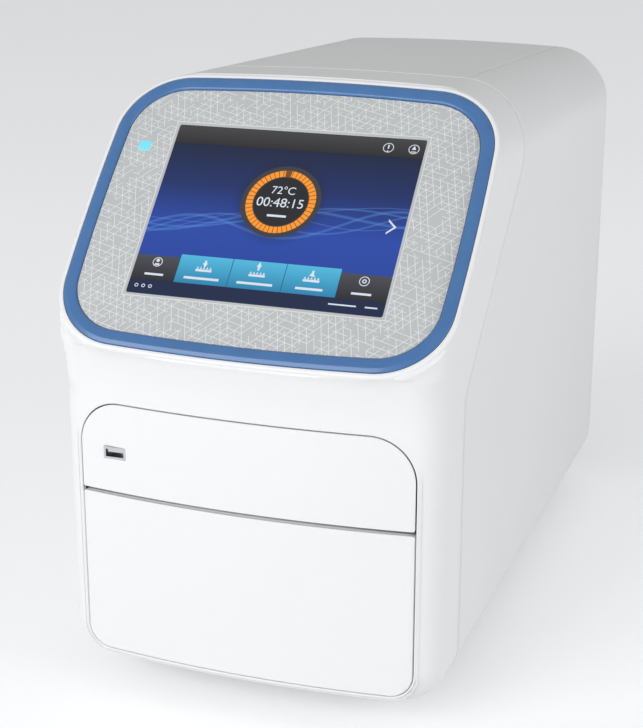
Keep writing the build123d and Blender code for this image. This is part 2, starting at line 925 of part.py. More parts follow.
def lamp_bracket():
    """The bridge over the light tube that carries the lamp and the excitation motor."""
    half = lamp_plate_half_width
    y0, y1 = lamp_plate_front_y, lamp_plate_rear_y
    thick = lamp_plate_thick
    top = lamp_plate_z + thick
    bracket = block(-half, half, y0, y1, lamp_plate_z, top)
    for x in (-half, half - thick):
        bracket = bracket + block(x, x + thick, y0, y1, deck_top_z, top)
    bracket = bracket - post(0, splitter_y, lamp_plate_z - 1, top + 1, light_port_radius - 2)
    return bracket - post(-filter_ring_radius, splitter_y, lamp_plate_z - 1, top + 1, wheel_hub_radius)


def lamp_module():
    """The light source: a collimator tube under a finned heat sink."""
    foot = lamp_plate_z + lamp_plate_thick
    base = foot + lamp_tube_height
    half = lamp_sink_size / 2
    fin_z = base + lamp_sink_base
    lamp = block(-half, half, splitter_y - half, splitter_y + half, base, fin_z)
    tube = post(0, splitter_y, foot, base, lamp_radius)
    lamp = lamp + (tube - post(0, splitter_y, foot - 1, base, lamp_radius - 2))
    pitch = (lamp_sink_size - fin_thick) / (lamp_fin_count - 1)
    for k in range(lamp_fin_count):
        x = -half + k * pitch
        lamp = lamp + block(
            x, x + fin_thick, splitter_y - half, splitter_y + half, fin_z, fin_z + lamp_fin_height
        )
    return lamp


def camera_bracket():
    """The upright plate behind the emission wheel, with a foot and the camera's seat."""
    y0 = camera_plate_y
    y1 = y0 + camera_plate_thick
    plate = block(camera_plate_left_x, camera_plate_right_x, y0, y1, deck_top_z, camera_plate_top_z)
    plate = plate - bar_y(0, axis_z, y0 - 1, y1 + 1, lens_radius + 0.3)
    plate = plate - bar_y(filter_ring_radius, axis_z, y0 - 1, y1 + 1, wheel_hub_radius)
    rear = y1 + lens_length + camera_length
    foot = block(camera_plate_left_x, camera_plate_right_x, y1, rear, deck_top_z, deck_top_z + camera_plate_thick)
    seat_y = y1 + lens_length
    seat = block(-camera_size / 3, camera_size / 3, seat_y, rear, deck_top_z, axis_z - camera_size / 2)
    return plate + foot + seat


def camera():
    """The camera: lens barrel through the bracket and a square body on the seat."""
    y0 = camera_plate_y + camera_plate_thick
    half = camera_size / 2
    lens = bar_y(0, axis_z, y0 - lens_reach, y0 + lens_length + 1, lens_radius)
    lens = lens - bar_y(0, axis_z, y0 - lens_reach - 1, y0 - lens_cup, lens_radius - lens_wall)
    body_y = y0 + lens_length
    body = block(-half, half, body_y, body_y + camera_length, axis_z - half, axis_z + half)
    body = chamfer(body.edges().filter_by(Axis.Y), 3)
    return body + lens


def guide_rods():
    """Two rods that hang from the deck and guide the heated cover."""
    rods = [post(x, guide_rod_y, guide_rod_end_z, deck_z, guide_rod_radius) for x in (-guide_x, guide_x)]
    return Compound(rods)


def heater_plate():
    """The heated plate above the wells, with a stepped window for the glass."""
    y0 = block_y - heater_depth / 2
    plate = block(-heater_width / 2, heater_width / 2, y0, y0 + heater_depth, heater_z, heater_z + heater_thick)
    plate = chamfer(plate.edges().filter_by(Axis.Z), 4)
    plate = plate - cover_glass_form(-2, heater_z - 1)
    return plate - cover_glass_form(0, heater_z + heater_thick - cover_glass_thick)


def cover_glass_form(reach, low):
    """The heated window's outline from low to the heater's top."""
    half_w = heater_window_width / 2 + reach
    half_d = heater_window_depth / 2 + reach
    return block(-half_w, half_w, block_y - half_d, block_y + half_d, low, heater_z + heater_thick)


def cover_glass():
    """The window glass in the heater."""
    return cover_glass_form(-socket_clearance, heater_z + heater_thick - cover_glass_thick)


def cover_carrier():
    """The lifting plate of the heated cover: posts to the heater, bushes in front, nuts behind."""
    half = carrier_width / 2
    plate = block(-half, half, carrier_front_y, carrier_rear_y, carrier_z, carrier_top_z)
    plate = chamfer(plate.edges().filter_by(Axis.Z), 6)
    half_w = heater_window_width / 2 - 2
    half_d = heater_window_depth / 2 - 2
    plate = plate - block(
        -half_w, half_w, block_y - half_d, block_y + half_d, carrier_z - 1, carrier_top_z + 1
    )
    for x in (-1, 1):
        for y in (-1, 1):
            post_y = block_y + y * (heater_depth / 2 - spacer_radius - 1)
            post_x = x * (heater_width / 2 - spacer_radius - 1)
            plate = plate + hex_post(post_x, post_y, heater_z + heater_thick, carrier_z, spacer_radius)
    for x in (-guide_x, guide_x):
        for y in (guide_rod_y, screw_y):
            low = carrier_z - bush_drop
            plate = plate + block(x - bush_half, x + bush_half, y - bush_half, y + bush_half, low, low + bush_height)
    for x in (-guide_x, guide_x):
        plate = plate - post(x, guide_rod_y, 0, 400, guide_rod_radius + shaft_gap)
        plate = plate - post(x, screw_y, 0, 400, screw_radius + shaft_gap)
    return plate


def lift_screw(x):
    """A lifting screw with its belt pulley above the deck, and the left one's drive end."""
    low = deck_top_z + pulley_lift
    top = low + pulley_height
    screw = post(x, screw_y, screw_end_z, top, screw_radius)
    screw = screw + post(x, screw_y, low, top, pulley_radius)
    if x < 0:
        screw = screw + post(x, screw_y, top, top + lift_motor_post + 10, shaft_radius)
    return screw


def belt_loop(radius, z0, z1):
    """A filled loop round both pulleys, out to radius."""
    loop = block(-guide_x, guide_x, screw_y - radius, screw_y + radius, z0, z1)
    for x in (-guide_x, guide_x):
        loop = loop + post(x, screw_y, z0, z1, radius)
    return loop


def lift_belt():
    """The belt that turns both lifting screws together."""
    mid = deck_top_z + pulley_lift + pulley_height / 2
    z0, z1 = mid - belt_width / 2, mid + belt_width / 2
    inner = pulley_radius + belt_gap
    return belt_loop(inner + belt_thick, z0, z1) - belt_loop(inner, z0 - 1, z1 + 1)


def lift_motor():
    """The heated cover's motor on four posts over the left screw."""
    foot = deck_top_z + pulley_lift + pulley_height + lift_motor_post
    half = lift_motor_size / 2
    motor = block(-half, half, -half, half, foot, foot + lift_motor_height)
    motor = chamfer(motor.edges().filter_by(Axis.Z), 3)
    for x in (-1, 1):
        for y in (-1, 1):
            motor = motor + hex_post(x * (half - 3), y * (half - 3), deck_top_z, foot, standoff_radius)
    motor = motor - post(0, 0, foot - 1, foot + 11, shaft_radius + shaft_gap)
    return Pos(-guide_x, screw_y, 0) * motor


def rack_profile():
    """The rack seen from above: a straight bar with trapezoid teeth towards -X."""
    pitch = pi * module
    reach = tan(radians(pressure_deg))
    tip_x = rack_line_x - module
    root_x = rack_line_x + 1.25 * module
    half_tooth = pitch / 4 - backlash / 4
    half_tip = half_tooth - module * reach
    half_root = half_tooth + 1.25 * module * reach
    first, last = -2, ceil(travel / pitch) + 2
    points = [(rack_line_x + 1.25 * module + rack_back, pinion_y + (first - 0.5) * pitch)]
    points.append((root_x, pinion_y + (first - 0.5) * pitch))
    for k in range(first, last + 1):
        y = pinion_y + k * pitch
        points += [(root_x, y - half_root), (tip_x, y - half_tip), (tip_x, y + half_tip), (root_x, y + half_root)]
    points.append((root_x, pinion_y + (last + 0.5) * pitch))
    points.append((rack_line_x + 1.25 * module + rack_back, pinion_y + (last + 0.5) * pitch))
    return points


def drawer_rack():
    """The toothed bar under the drawer's floor."""
    face = make_face(Polyline(*rack_profile(), close=True))
    return Pos(0, 0, rack_z) * extrude(face, amount=tray_floor_z - rack_z)


def pinion_profile():
    """The pinion seen from above, with involute flanks and a gap towards +X."""
    base = pitch_radius * cos(radians(pressure_deg))
    tip = pitch_radius + module
    root = pitch_radius - 1.25 * module
    involute = tan(radians(pressure_deg)) - radians(pressure_deg)
    half_angle = pi / (2 * pinion_teeth) - backlash / (4 * pitch_radius) + involute

    def flank(radius):
        """The half angle of a tooth at one radius."""
        if radius <= base:
            return half_angle
        roll = acos(base / radius)
        return half_angle - (tan(roll) - roll)

    radii = [root, base] + [base + (tip - base) * k / 3 for k in (1, 2, 3)]
    points = []
    for tooth in range(pinion_teeth):
        middle = (tooth + 0.5) * 2 * pi / pinion_teeth
        angles = [(r, middle - flank(r)) for r in radii] + [(r, middle + flank(r)) for r in reversed(radii)]
        points += [(r * cos(a), r * sin(a)) for r, a in angles]
    return points


def drive_pinion():
    """The pinion that moves the drawer, on its shaft down into the motor."""
    face = make_face(Polyline(*pinion_profile(), close=True))
    gear = extrude(face, amount=pinion_thick)
    shaft = post(0, 0, -pinion_lift - shaft_seat + 1, pinion_thick, shaft_radius)
    return Pos(pinion_x, pinion_y, rack_z) * (gear + shaft)


def drawer_motor():
    """The flat motor on the base under the pinion."""
    top = rack_z - pinion_lift
    half = drawer_motor_size / 2
    motor = block(-half, half, -half, half, floor_z, top)
    motor = chamfer(motor.edges().filter_by(Axis.Z), 4)
    motor = motor - post(0, 0, top - shaft_seat, top + 1, shaft_radius + shaft_gap)
    return Pos(pinion_x, pinion_y, 0) * motor


def drawer_front(form):
    """The bowed front of the drawer with returns round its edge and four screw bosses."""
    panel = bowed_panel(
        window_bottom_z + panel_gap, drawer_top_z, window_bottom_radius - panel_gap, groove_edge_radius,
        panel_gap, form,
    )
    for x in (-drawer_boss_x, drawer_boss_x):
        for z in (drawer_boss_z_low, drawer_boss_z_high):
            panel = panel + (bar_y(x, z, front_y, tray_front_y, drawer_boss_radius) - outside_skin())
    return panel


def outside_skin():
    """Everything in front of the middle of the front skin."""
    return block(-200, 200, front_y - 50, tray_front_y + 1, 0, 300) - bulge(skin / 2)


def drawer_tray():
    """The drawer's folded sheet tray with posts for the heat sink and slots for its air."""
    half = tray_half_width
    sheet_in = half - tray_sheet
    tray = block(-half, half, tray_front_y, tray_rear_y, tray_floor_z, tray_floor_top_z)
    for x in (-half, sheet_in):
        tray = tray + block(x, x + tray_sheet, tray_front_y, tray_rear_y, tray_floor_z, tray_top_z)
    tray = tray + block(-half, half, tray_front_y, tray_front_y + tray_sheet, tray_floor_z, tray_top_z)
    for x in (-sink_post_x, sink_post_x):
        for y in (-sink_post_y, sink_post_y):
            tray = tray + hex_post(x, block_y + y, tray_floor_z, sink_base_z, sink_post_radius)
    for k in range(floor_slot_count):
        for side in (-1, 1):
            x = side * (floor_slot_first + k * floor_slot_pitch)
            tray = tray - block(
                x - floor_slot_width / 2, x + floor_slot_width / 2,
                block_y - floor_slot_length / 2, block_y + floor_slot_length / 2,
                tray_floor_z - 1, tray_floor_top_z + 1,
            )
    return tray


def drawer_deck():
    """The moulded deck over the tray, with skirts, a hole for the block and a low lip round it."""
    half = cover_deck_half_width
    top = tray_top_z + cover_deck_thick
    deck = block(-half, half, tray_front_y, cover_deck_rear_y, tray_top_z, top)
    deck = fillet(deck.edges().filter_by(Axis.Z).group_by(Axis.Y)[-1], 8)
    for x in (-half, half - skirt_wall):
        deck = deck + block(
            x, x + skirt_wall, tray_front_y + 6, cover_deck_rear_y - 10, tray_top_z - cover_deck_skirt, tray_top_z
        )
    half_w = block_width / 2 + block_gap
    half_d = block_depth / 2 + block_gap
    rim = block(
        -half_w - block_lip_width, half_w + block_lip_width,
        block_y - half_d - block_lip_width, block_y + half_d + block_lip_width, tray_top_z, top + block_lip,
    )
    deck = deck + rim
    return deck - block(-half_w, half_w, block_y - half_d, block_y + half_d, tray_top_z - 1, top + 5)


def sample_block():
    """The metal block with its grid of tapered wells."""
    body = block(
        -block_width / 2, block_width / 2, block_y - block_depth / 2, block_y + block_depth / 2,
        block_bottom_z, block_top_z,
    )
    body = chamfer(body.edges().filter_by(Axis.Z), 3)
    mouth = Pos(0, 0, 0) * RegularPolygon(well_top_radius, well_sides)
    angle = degrees(atan((well_top_radius - well_bottom_radius) / well_depth))
    well = extrude(mouth, amount=-well_depth, taper=angle)
    wells = []
    for column in range(well_columns):
        for row in range(well_rows):
            x = (column - (well_columns - 1) / 2) * well_pitch
            y = (row - (well_rows - 1) / 2) * well_pitch
            wells.append(Pos(x, block_y + y, block_top_z) * well)
    return body - wells


def thermal_modules():
    """The six flat heat pumps between the block and the heat sink."""
    modules = []
    for x in (-peltier_pitch_x, 0, peltier_pitch_x):
        for y in (-peltier_pitch_y / 2, peltier_pitch_y / 2):
            half = peltier_size / 2
            modules.append(
                block(x - half, x + half, block_y + y - half, block_y + y + half, peltier_z, block_bottom_z)
            )
    return Compound(modules)


def heat_sink():
    """The heat sink: a base plate with fins below, carried as one comb along Y."""
    pitch = (fin_span - fin_thick) / (fin_count - 1)
    low = sink_base_z - fin_height
    points = [(-sink_width / 2, 0, sink_base_z + sink_base), (-sink_width / 2, 0, sink_base_z)]
    for k in range(fin_count):
        x = -fin_span / 2 + k * pitch
        points += [(x, 0, sink_base_z), (x, 0, low), (x + fin_thick, 0, low), (x + fin_thick, 0, sink_base_z)]
    points += [(sink_width / 2, 0, sink_base_z), (sink_width / 2, 0, sink_base_z + sink_base)]
    comb = make_face(Polyline(*points, close=True))
    return front_prism(comb, block_y - sink_depth / 2, block_y + sink_depth / 2)


def fan_frame(size, depth):
    """A square fan frame along Y from y = 0, with a motor cup on four arms at its back."""
    hole = size / 2 - fan_wall
    cup = size * 0.19
    frame = Rot(90, 0, 0) * Pos(0, 0, -depth / 2) * Box(size, size, depth)
    frame = chamfer(frame.edges().filter_by(Axis.Y), size * 0.05)
    frame = frame - bar_y(0, 0, -1, depth + 1, hole)
    arm_y = depth - fan_arm
    for turn in (45, 135):
        arm = Box(2 * hole + fan_wall, fan_arm, fan_arm * 1.5)
        frame = frame + Pos(0, arm_y + fan_arm / 2, 0) * Rot(0, turn, 0) * arm
    frame = frame + bar_y(0, 0, arm_y, depth, cup)
    return frame - bar_y(0, 0, -1, depth + 1, shaft_radius + shaft_gap)


def fan_rotor(size, depth, count):
    """The fan's hub with curved pitched blades and a shaft into the cup, along Y."""
    tip = size / 2 - fan_wall - fan_tip_gap
    hub = size * 0.21
    width = depth - fan_arm - 2
    rotor = bar_y(0, 0, 1, 1 + width, hub)
    rotor = rotor + bar_y(0, 0, 1, depth, shaft_radius)
    middle = 1 + width / 2
    half = width * 0.48
    lean = half / tan(radians(90 - blade_sweep_deg)) * 1.6
    bow = half * 0.35
    front = ThreePointArc((-lean, -half), (-bow, 0), (lean, half))
    back = ThreePointArc((lean + blade_thick, half), (-bow + blade_thick, 0), (-lean + blade_thick, -half))
    ends = [Line((lean, half), (lean + blade_thick, half)), Line((-lean + blade_thick, -half), (-lean, -half))]
    shape = make_face(Curve([front, back] + ends))
    blade = extrude(shape, amount=tip + 2 - hub * 0.9)
    blade = Pos(0, middle, hub * 0.9) * blade & bar_y(0, 0, 0, depth, tip)
    for k in range(count):
        rotor = rotor + Rot(0, k * 360 / count, 0) * blade
    return rotor


def block_fan_place(x):
    """The place of one of the two small fans behind the heat sink."""
    return Pos(x, block_fan_y, tray_floor_top_z + block_fan_size / 2)


def exhaust_place():
    """The place of the exhaust fan on the inside of the rear panel."""
    return Pos(exhaust_x, panel_inner_y - exhaust_depth, exhaust_z)


def outer_rails():
    """The two fixed guide rails, channels that open towards the drawer."""
    half = rail_height / 2
    rails = []
    for side in (-1, 1):
        web = frame_x - rail_sheet
        lip = frame_x - rail_depth
        points = [
            (frame_x, -half), (lip, -half), (lip, -half + rail_sheet), (web, -half + rail_sheet),
            (web, half - rail_sheet), (lip, half - rail_sheet), (lip, half), (frame_x, half),
        ]
        face = make_face(Polyline(*[(side * x, 0, rail_z + z) for x, z in points], close=True))
        rails.append(front_prism(face, rail_front_y, rail_rear_y))
    return Compound(rails)


def inner_rails():
    """The two rails on the drawer's sides that run in the channels."""
    half = rail_height / 2 - rail_sheet - rail_gap
    inner = tray_half_width
    outer = frame_x - rail_sheet - rail_gap
    slim = 2.0
    rails = []
    for side in (-1, 1):
        points = [
            (inner, -half), (inner + slim, -half), (inner + slim, -slim), (outer - slim, -slim),
            (outer - slim, -half), (outer, -half), (outer, half), (outer - slim, half),
            (outer - slim, slim), (inner + slim, slim), (inner + slim, half), (inner, half),
        ]
        face = make_face(Polyline(*[(side * x, 0, rail_z + z) for x, z in points], close=True))
        rails.append(front_prism(face, tray_front_y + 4, inner_rail_rear_y))
    return Compound(rails)


def power_supply():
    """The closed power supply on the base, with a row of vents pressed into its top."""
    x0 = psu_left_x
    top = floor_z + psu_height
    supply = block(x0, x0 + psu_width, psu_front_y, psu_front_y + psu_length, floor_z, top)
    supply = chamfer(supply.edges().group_by(Axis.Z)[-1], 1.5)
    middle = x0 + psu_width / 2
    for k in range(psu_slot_count):
        y = psu_front_y + psu_length / 2 + (k - (psu_slot_count - 1) / 2) * psu_slot_pitch
        supply = supply - block(
            middle - psu_slot_length / 2, middle + psu_slot_length / 2,
            y - psu_slot_width / 2, y + psu_slot_width / 2, top - 2.5, top + 1,
        )
    return supply


def board_face_x():
    """The inner face of the main board, where its sockets sit."""
    return frame_x - board_standoff - board_thick


def main_board():
    """The main board upright on the right frame plate, with standoffs and two chips."""
    x0 = board_face_x()
    y0, y1 = main_board_front_y, panel_inner_y - 1
    z0, z1 = main_board_bottom_z, main_board_bottom_z + main_board_height
    board = block(x0, x0 + board_thick, y0, y1, z0, z1)
    for y in (y0 + ear_inset, frame_rear_y - ear_inset):
        for z in (z0 + ear_inset, z1 - ear_inset):
            board = board + Pos(frame_x, y, z) * Rot(0, -90, 0) * hex_post(0, 0, 0, board_standoff, standoff_radius)
    board = board + block(x0 - 8, x0, y0 + 30, y0 + 62, z0 + 26, z0 + 58)
    return board + block(x0 - 3, x0, y0 + 84, y0 + 110, z0 + 32, z0 + 58)


def lan_socket():
    """The network socket with its mouth at y = 0, facing +Y, foot on the board at x = 0."""
    body = block(-lan_height, 0, -lan_length, 0, -lan_width / 2, lan_width / 2)
    middle = -lan_height / 2
    half_h = lan_mouth_height / 2
    half_w = lan_mouth_width / 2
    return body - block(middle - half_h, middle + half_h, -lan_mouth_depth, 1, -half_w, half_w)


def rear_sockets():
    """The network socket and two USB sockets on the main board's rear edge."""
    face_x = board_face_x()
    y1 = rear_inner_y + usb_proud
    usb = usb_socket(usb_width, usb_height, usb_length, usb_mouth_width, usb_mouth_height)
    usb = Rot(0, 90, 0) * Rot(0, 0, 180) * usb
    solids = [Pos(face_x, y1, lan_z) * lan_socket()]
    for k in range(2):
        z = rear_usb_z + k * rear_usb_pitch
        solids.append(Pos(face_x - usb_height / 2, y1, z) * usb)
    return Compound(solids)


def inlet_outline(gap, y0, y1):
    """The inlet's mouth: a rectangle with two chamfered upper corners."""
    half_w = inlet_mouth_width / 2 + gap
    half_h = inlet_mouth_height / 2 + gap
    face = make_face(
        Polyline((-half_w, 0, -half_h), (half_w, 0, -half_h), (half_w, 0, half_h), (-half_w, 0, half_h), close=True)
    )
    face = chamfer(face.vertices().group_by(Axis.Z)[-1], inlet_chamfer)
    return Pos(inlet_x, 0, inlet_z) * front_prism(face, y0, y1)


def switch_z():
    """The height of the power switch, above the inlet in the same flange."""
    return inlet_z + switch_rise


def inlet_body(gap):
    """The two blocks of the inlet that pass through the rear panel."""
    y0 = rear_inner_y - 5
    half_w = inlet_width / 2 + gap
    half_h = inlet_height / 2 + gap
    inlet = block(inlet_x - half_w, inlet_x + half_w, y0, rear_inner_y, inlet_z - half_h, inlet_z + half_h)
    half_w = rocker_width / 2 + rocker_gap + switch_wall + gap
    half_h = rocker_height / 2 + rocker_gap + switch_wall + gap
    z = switch_z()
    return inlet + block(inlet_x - half_w, inlet_x + half_w, y0, rear_inner_y, z - half_h, z + half_h)


def power_inlet():
    """The mains inlet and the switch housing, one moulding with a flange outside the rear panel."""
    front = rear_inner_y + inlet_flange_thick
    middle = (inlet_z + switch_z()) / 2
    half_w = inlet_flange_width / 2
    half_h = inlet_flange_height / 2
    flange = block(inlet_x - half_w, inlet_x + half_w, rear_inner_y, front, middle - half_h, middle + half_h)
    flange = fillet(flange.edges().filter_by(Axis.Y), 4)
    half_w = inlet_width / 2
    half_h = inlet_height / 2
    body = block(
        inlet_x - half_w, inlet_x + half_w, front - inlet_length, rear_inner_y, inlet_z - half_h, inlet_z + half_h
    )
    half_w = rocker_width / 2 + rocker_gap + switch_wall
    half_h = rocker_height / 2 + rocker_gap + switch_wall
    z = switch_z()
    body = body + block(
        inlet_x - half_w, inlet_x + half_w, front - switch_depth, rear_inner_y, z - half_h, z + half_h
    )
    housing = flange + body - inlet_outline(0, front - inlet_mouth_depth, front + 1)
    half_w = rocker_width / 2 + rocker_gap
    half_h = rocker_height / 2 + rocker_gap
    housing = housing - block(
        inlet_x - half_w, inlet_x + half_w, front - switch_depth + switch_wall, front + 1, z - half_h, z + half_h
    )
    shaft = Pos(inlet_x, front - rocker_sink, z) * Rot(0, 90, 0) * Cylinder(
        rocker_shaft_radius + shaft_gap, rocker_width + 2 * rocker_gap + switch_wall
    )
    housing = housing - shaft
    for x, rise in ((-pin_spacing, -pin_rise), (pin_spacing, -pin_rise), (0, pin_rise)):
        pin_x, pin_z = inlet_x + x, inlet_z + rise
        y0 = front - inlet_mouth_depth
        housing = housing + block(
            pin_x - pin_width / 2, pin_x + pin_width / 2, y0 - 1, y0 + pin_length,
            pin_z - pin_height / 2, pin_z + pin_height / 2,
        )
    return housing


def power_rocker():
    """The rocker of the power switch, resting in its off position on a cross shaft."""
    half = rocker_height / 2
    points = [
        (-rocker_depth, -half * 0.6), (rocker_face, -half), (rocker_face - rocker_dip, 0),
        (rocker_face, half), (-rocker_depth, half * 0.6),
    ]
    rocker = side_profile(points, -rocker_width / 2, rocker_width / 2)
    shaft_length = rocker_width + 2 * rocker_gap + switch_wall - 0.4
    rocker = rocker + Rot(0, 90, 0) * Cylinder(rocker_shaft_radius, shaft_length)
    place = Pos(inlet_x, rear_inner_y + inlet_flange_thick - rocker_sink, switch_z())
    return place * Rot(-rocker_swing_deg, 0, 0) * rocker


def rear_panel():
    """The sheet panel in the back, with the fan grille, vents and socket holes."""
    panel = rear_opening(rear_panel_overlap, panel_inner_y, rear_inner_y)
    panel = panel - inlet_body(socket_clearance)
    face_x = board_face_x()
    gap = socket_clearance
    panel = panel - block(
        face_x - lan_height - gap, face_x + gap, panel_inner_y - 1, rear_inner_y + 1,
        lan_z - lan_width / 2 - gap, lan_z + lan_width / 2 + gap,
    )
    for k in range(2):
        z = rear_usb_z + k * rear_usb_pitch
        panel = panel - block(
            face_x - usb_height - gap, face_x + gap, panel_inner_y - 1, rear_inner_y + 1,
            z - usb_width / 2 - gap, z + usb_width / 2 + gap,
        )
    cuts = []
    reach = exhaust_size / 2 - fan_wall - 2
    rows = floor(reach / vent_slot_pitch)
    for k in range(-rows, rows + 1):
        z = exhaust_z + k * vent_slot_pitch
        half = sqrt(reach ** 2 - (k * vent_slot_pitch) ** 2)
        if half > 6:
            cuts += slot_pair(exhaust_x, z, half)
    for row in range(vent_row_count):
        z = vent_z + row * vent_slot_pitch
        for column in range(vent_column_count):
            x = (column - (vent_column_count - 1) / 2) * vent_column_pitch
            cuts.append(vent_slot(x, z, vent_slot_length / 2))
    return panel - cuts


def vent_slot(x, z, half):
    """One slot through the rear panel."""
    width = vent_slot_width / 2
    return block(x - half, x + half, panel_inner_y - 1, rear_inner_y + 1, z - width, z + width)


def slot_pair(x, z, half):
    """A row of the fan grille, parted by an upright rib in the middle."""
    quarter = (half - grille_rib / 2) / 2
    offset = grille_rib / 2 + quarter
    return [vent_slot(x - offset, z, quarter), vent_slot(x + offset, z, quarter)]


def build_parts():
    """Every piece of the instrument by its node name."""
    form = casing(0.0, 0.0, True)
    core = casing(wall, face_wall, False)
    shell = form - core
    left, right, top, base = casing_panels(shell)
    return {
        "front_cover": front_cover(shell),
        "left_side_panel": left,
        "right_side_panel": right,
        "top_panel": top,
        "base_pan": base,
        "rear_panel": rear_panel(),
        "trim_ring": trim_ring(),
        "bezel_plate": bezel_plate(),
        "touch_glass": touch_glass(),
        "display_module": display_module(),
        "display_bracket": display_bracket(),
        "display_board": display_board(),
        "status_light": status_light(),
        "upper_fascia": upper_fascia(form),
        "front_usb_socket": front_usb_socket(),
        "feet": feet(),
        "outer_rails": outer_rails(),
        "frame_plates": Compound([frame_plate(-1), frame_plate(1)]),
        "optics_deck": optics_deck(),
        "light_hood": light_hood(),
        "fold_mirror": fold_mirror(),
        "light_tube": light_tube(),
        "beam_splitter": beam_splitter(),
        "lamp_bracket": lamp_bracket(),
        "lamp_module": lamp_module(),
        "wheel_motors": wheel_motors(),
        "excitation_wheel": excitation_place() * filter_wheel(),
        "excitation_filters": excitation_place() * wheel_filters(),
        "emission_wheel": emission_place() * filter_wheel(),
        "emission_filters": emission_place() * wheel_filters(),
        "camera_bracket": camera_bracket(),
        "camera": camera(),
        "guide_rods": guide_rods(),
        "heater_plate": heater_plate(),
        "cover_glass": cover_glass(),
        "cover_carrier": cover_carrier(),
        "left_lift_screw": lift_screw(-guide_x),
        "right_lift_screw": lift_screw(guide_x),
        "lift_belt": lift_belt(),
        "lift_motor": lift_motor(),
        "drawer_motor": drawer_motor(),
        "drive_pinion": drive_pinion(),
        "drawer_front": drawer_front(form),
        "drawer_tray": drawer_tray(),
        "drawer_deck": drawer_deck(),
        "drawer_rack": drawer_rack(),
        "inner_rails": inner_rails(),
        "sample_block": sample_block(),
        "thermal_modules": thermal_modules(),
        "heat_sink": heat_sink(),
        "block_fan_frames": Compound(
            [block_fan_place(x) * fan_frame(block_fan_size, block_fan_depth) for x in (-block_fan_x, block_fan_x)]
        ),
        "left_block_fan": block_fan_place(-block_fan_x) * fan_rotor(block_fan_size, block_fan_depth, small_blade_count),
        "right_block_fan": block_fan_place(block_fan_x) * fan_rotor(block_fan_size, block_fan_depth, small_blade_count),
        "exhaust_fan_frame": exhaust_place() * fan_frame(exhaust_size, exhaust_depth),
        "exhaust_fan": exhaust_place() * fan_rotor(exhaust_size, exhaust_depth, blade_count),
        "power_supply": power_supply(),
        "main_board": main_board(),
        "rear_sockets": rear_sockets(),
        "power_inlet": power_inlet(),
        "power_rocker": power_rocker(),
    }


os.makedirs("parts", exist_ok=True)
for name, shape in build_parts().items():
    export_step(shape, "parts/" + name + ".step")
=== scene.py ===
from math import acos, atan2, cos, hypot, pi, radians, sin, sqrt, tan

import bmesh
import bpy
import numpy as np
from mathutils import Matrix, Vector


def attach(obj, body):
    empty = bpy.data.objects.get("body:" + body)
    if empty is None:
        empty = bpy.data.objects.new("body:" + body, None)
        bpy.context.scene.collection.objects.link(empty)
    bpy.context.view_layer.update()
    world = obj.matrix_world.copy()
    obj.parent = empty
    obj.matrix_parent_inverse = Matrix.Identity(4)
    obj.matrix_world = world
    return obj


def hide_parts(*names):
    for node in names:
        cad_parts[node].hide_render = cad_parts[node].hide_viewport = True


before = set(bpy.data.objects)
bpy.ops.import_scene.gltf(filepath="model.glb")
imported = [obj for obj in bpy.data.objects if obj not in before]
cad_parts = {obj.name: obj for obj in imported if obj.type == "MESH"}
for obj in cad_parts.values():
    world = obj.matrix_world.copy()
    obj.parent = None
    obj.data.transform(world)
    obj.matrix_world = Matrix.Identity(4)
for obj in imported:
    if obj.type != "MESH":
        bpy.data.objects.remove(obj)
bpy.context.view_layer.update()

# Front moulding. One injection-moulded ABS shell, satin white, that wraps the front edges, swells
# under the display and carries the display's tilted rim. Screwed to the frame behind the seam.
body_half, body_low, body_rear = 0.131, 0.018, 0.253797
low_radius, top_radius, front_radius, rear_radius = 0.028, 0.045, 0.020, 0.008
top_crown, top_slope = 0.004, tan(radians(2.5))
bow_radius, bow_front = 0.780, -0.2468
chin_low, chin_high, chin_radius = 0.205, 0.243, 0.099
rim_middle, tilt = np.array([0.0, -0.1781, 0.3194]), radians(44.24)
rim_half_w, rim_half_h, rim_corner, rim_edge = 0.135, 0.1085, 0.0495, 0.002
rim_side_bow, rim_top_bow, hood_taper, hood_depth = 0.0032, 0.0048, tan(radians(3.4)), 0.200
rim_top_y = rim_middle[1] + rim_half_h * sin(tilt)
rim_top_z = rim_middle[2] + rim_half_h * cos(tilt)
casing_wall, seam_gap = 0.003, 0.0006
crease_radius, crease_gain = 0.012, 2.2
fade_z, fade_height, fade_back, fade_depth = 0.305, 0.04, 0.060, 0.030
longest_step, arc_steps = 0.004, 26


def rim_arcs(half_w, half_h):
    """The display outline's arcs in its first quarter. Each side is a wide arc bowed by the rise of
    its middle, and a corner arc of given radius touches both, so its centre is where two circles
    of the differences of the radii meet. Gives three (centre x, centre v, radius) and the two
    angles at which they join."""
    side = ((half_h - rim_top_bow) ** 2 + rim_side_bow**2) / (2 * rim_side_bow)
    top = ((half_w - rim_side_bow) ** 2 + rim_top_bow**2) / (2 * rim_top_bow)
    corner = rim_corner - (rim_half_w - half_w)
    a, b = half_w - side, half_h - top
    apart = hypot(a, b)
    along = ((side - corner) ** 2 - (top - corner) ** 2 + apart**2) / (2 * apart)
    across = sqrt((side - corner) ** 2 - along**2)
    x = a - along * a / apart - across * b / apart
    v = along * b / apart - across * a / apart
    return (a, 0.0, side), (x, v, corner), (0.0, b, top), atan2(v, x - a), atan2(v - b, x)


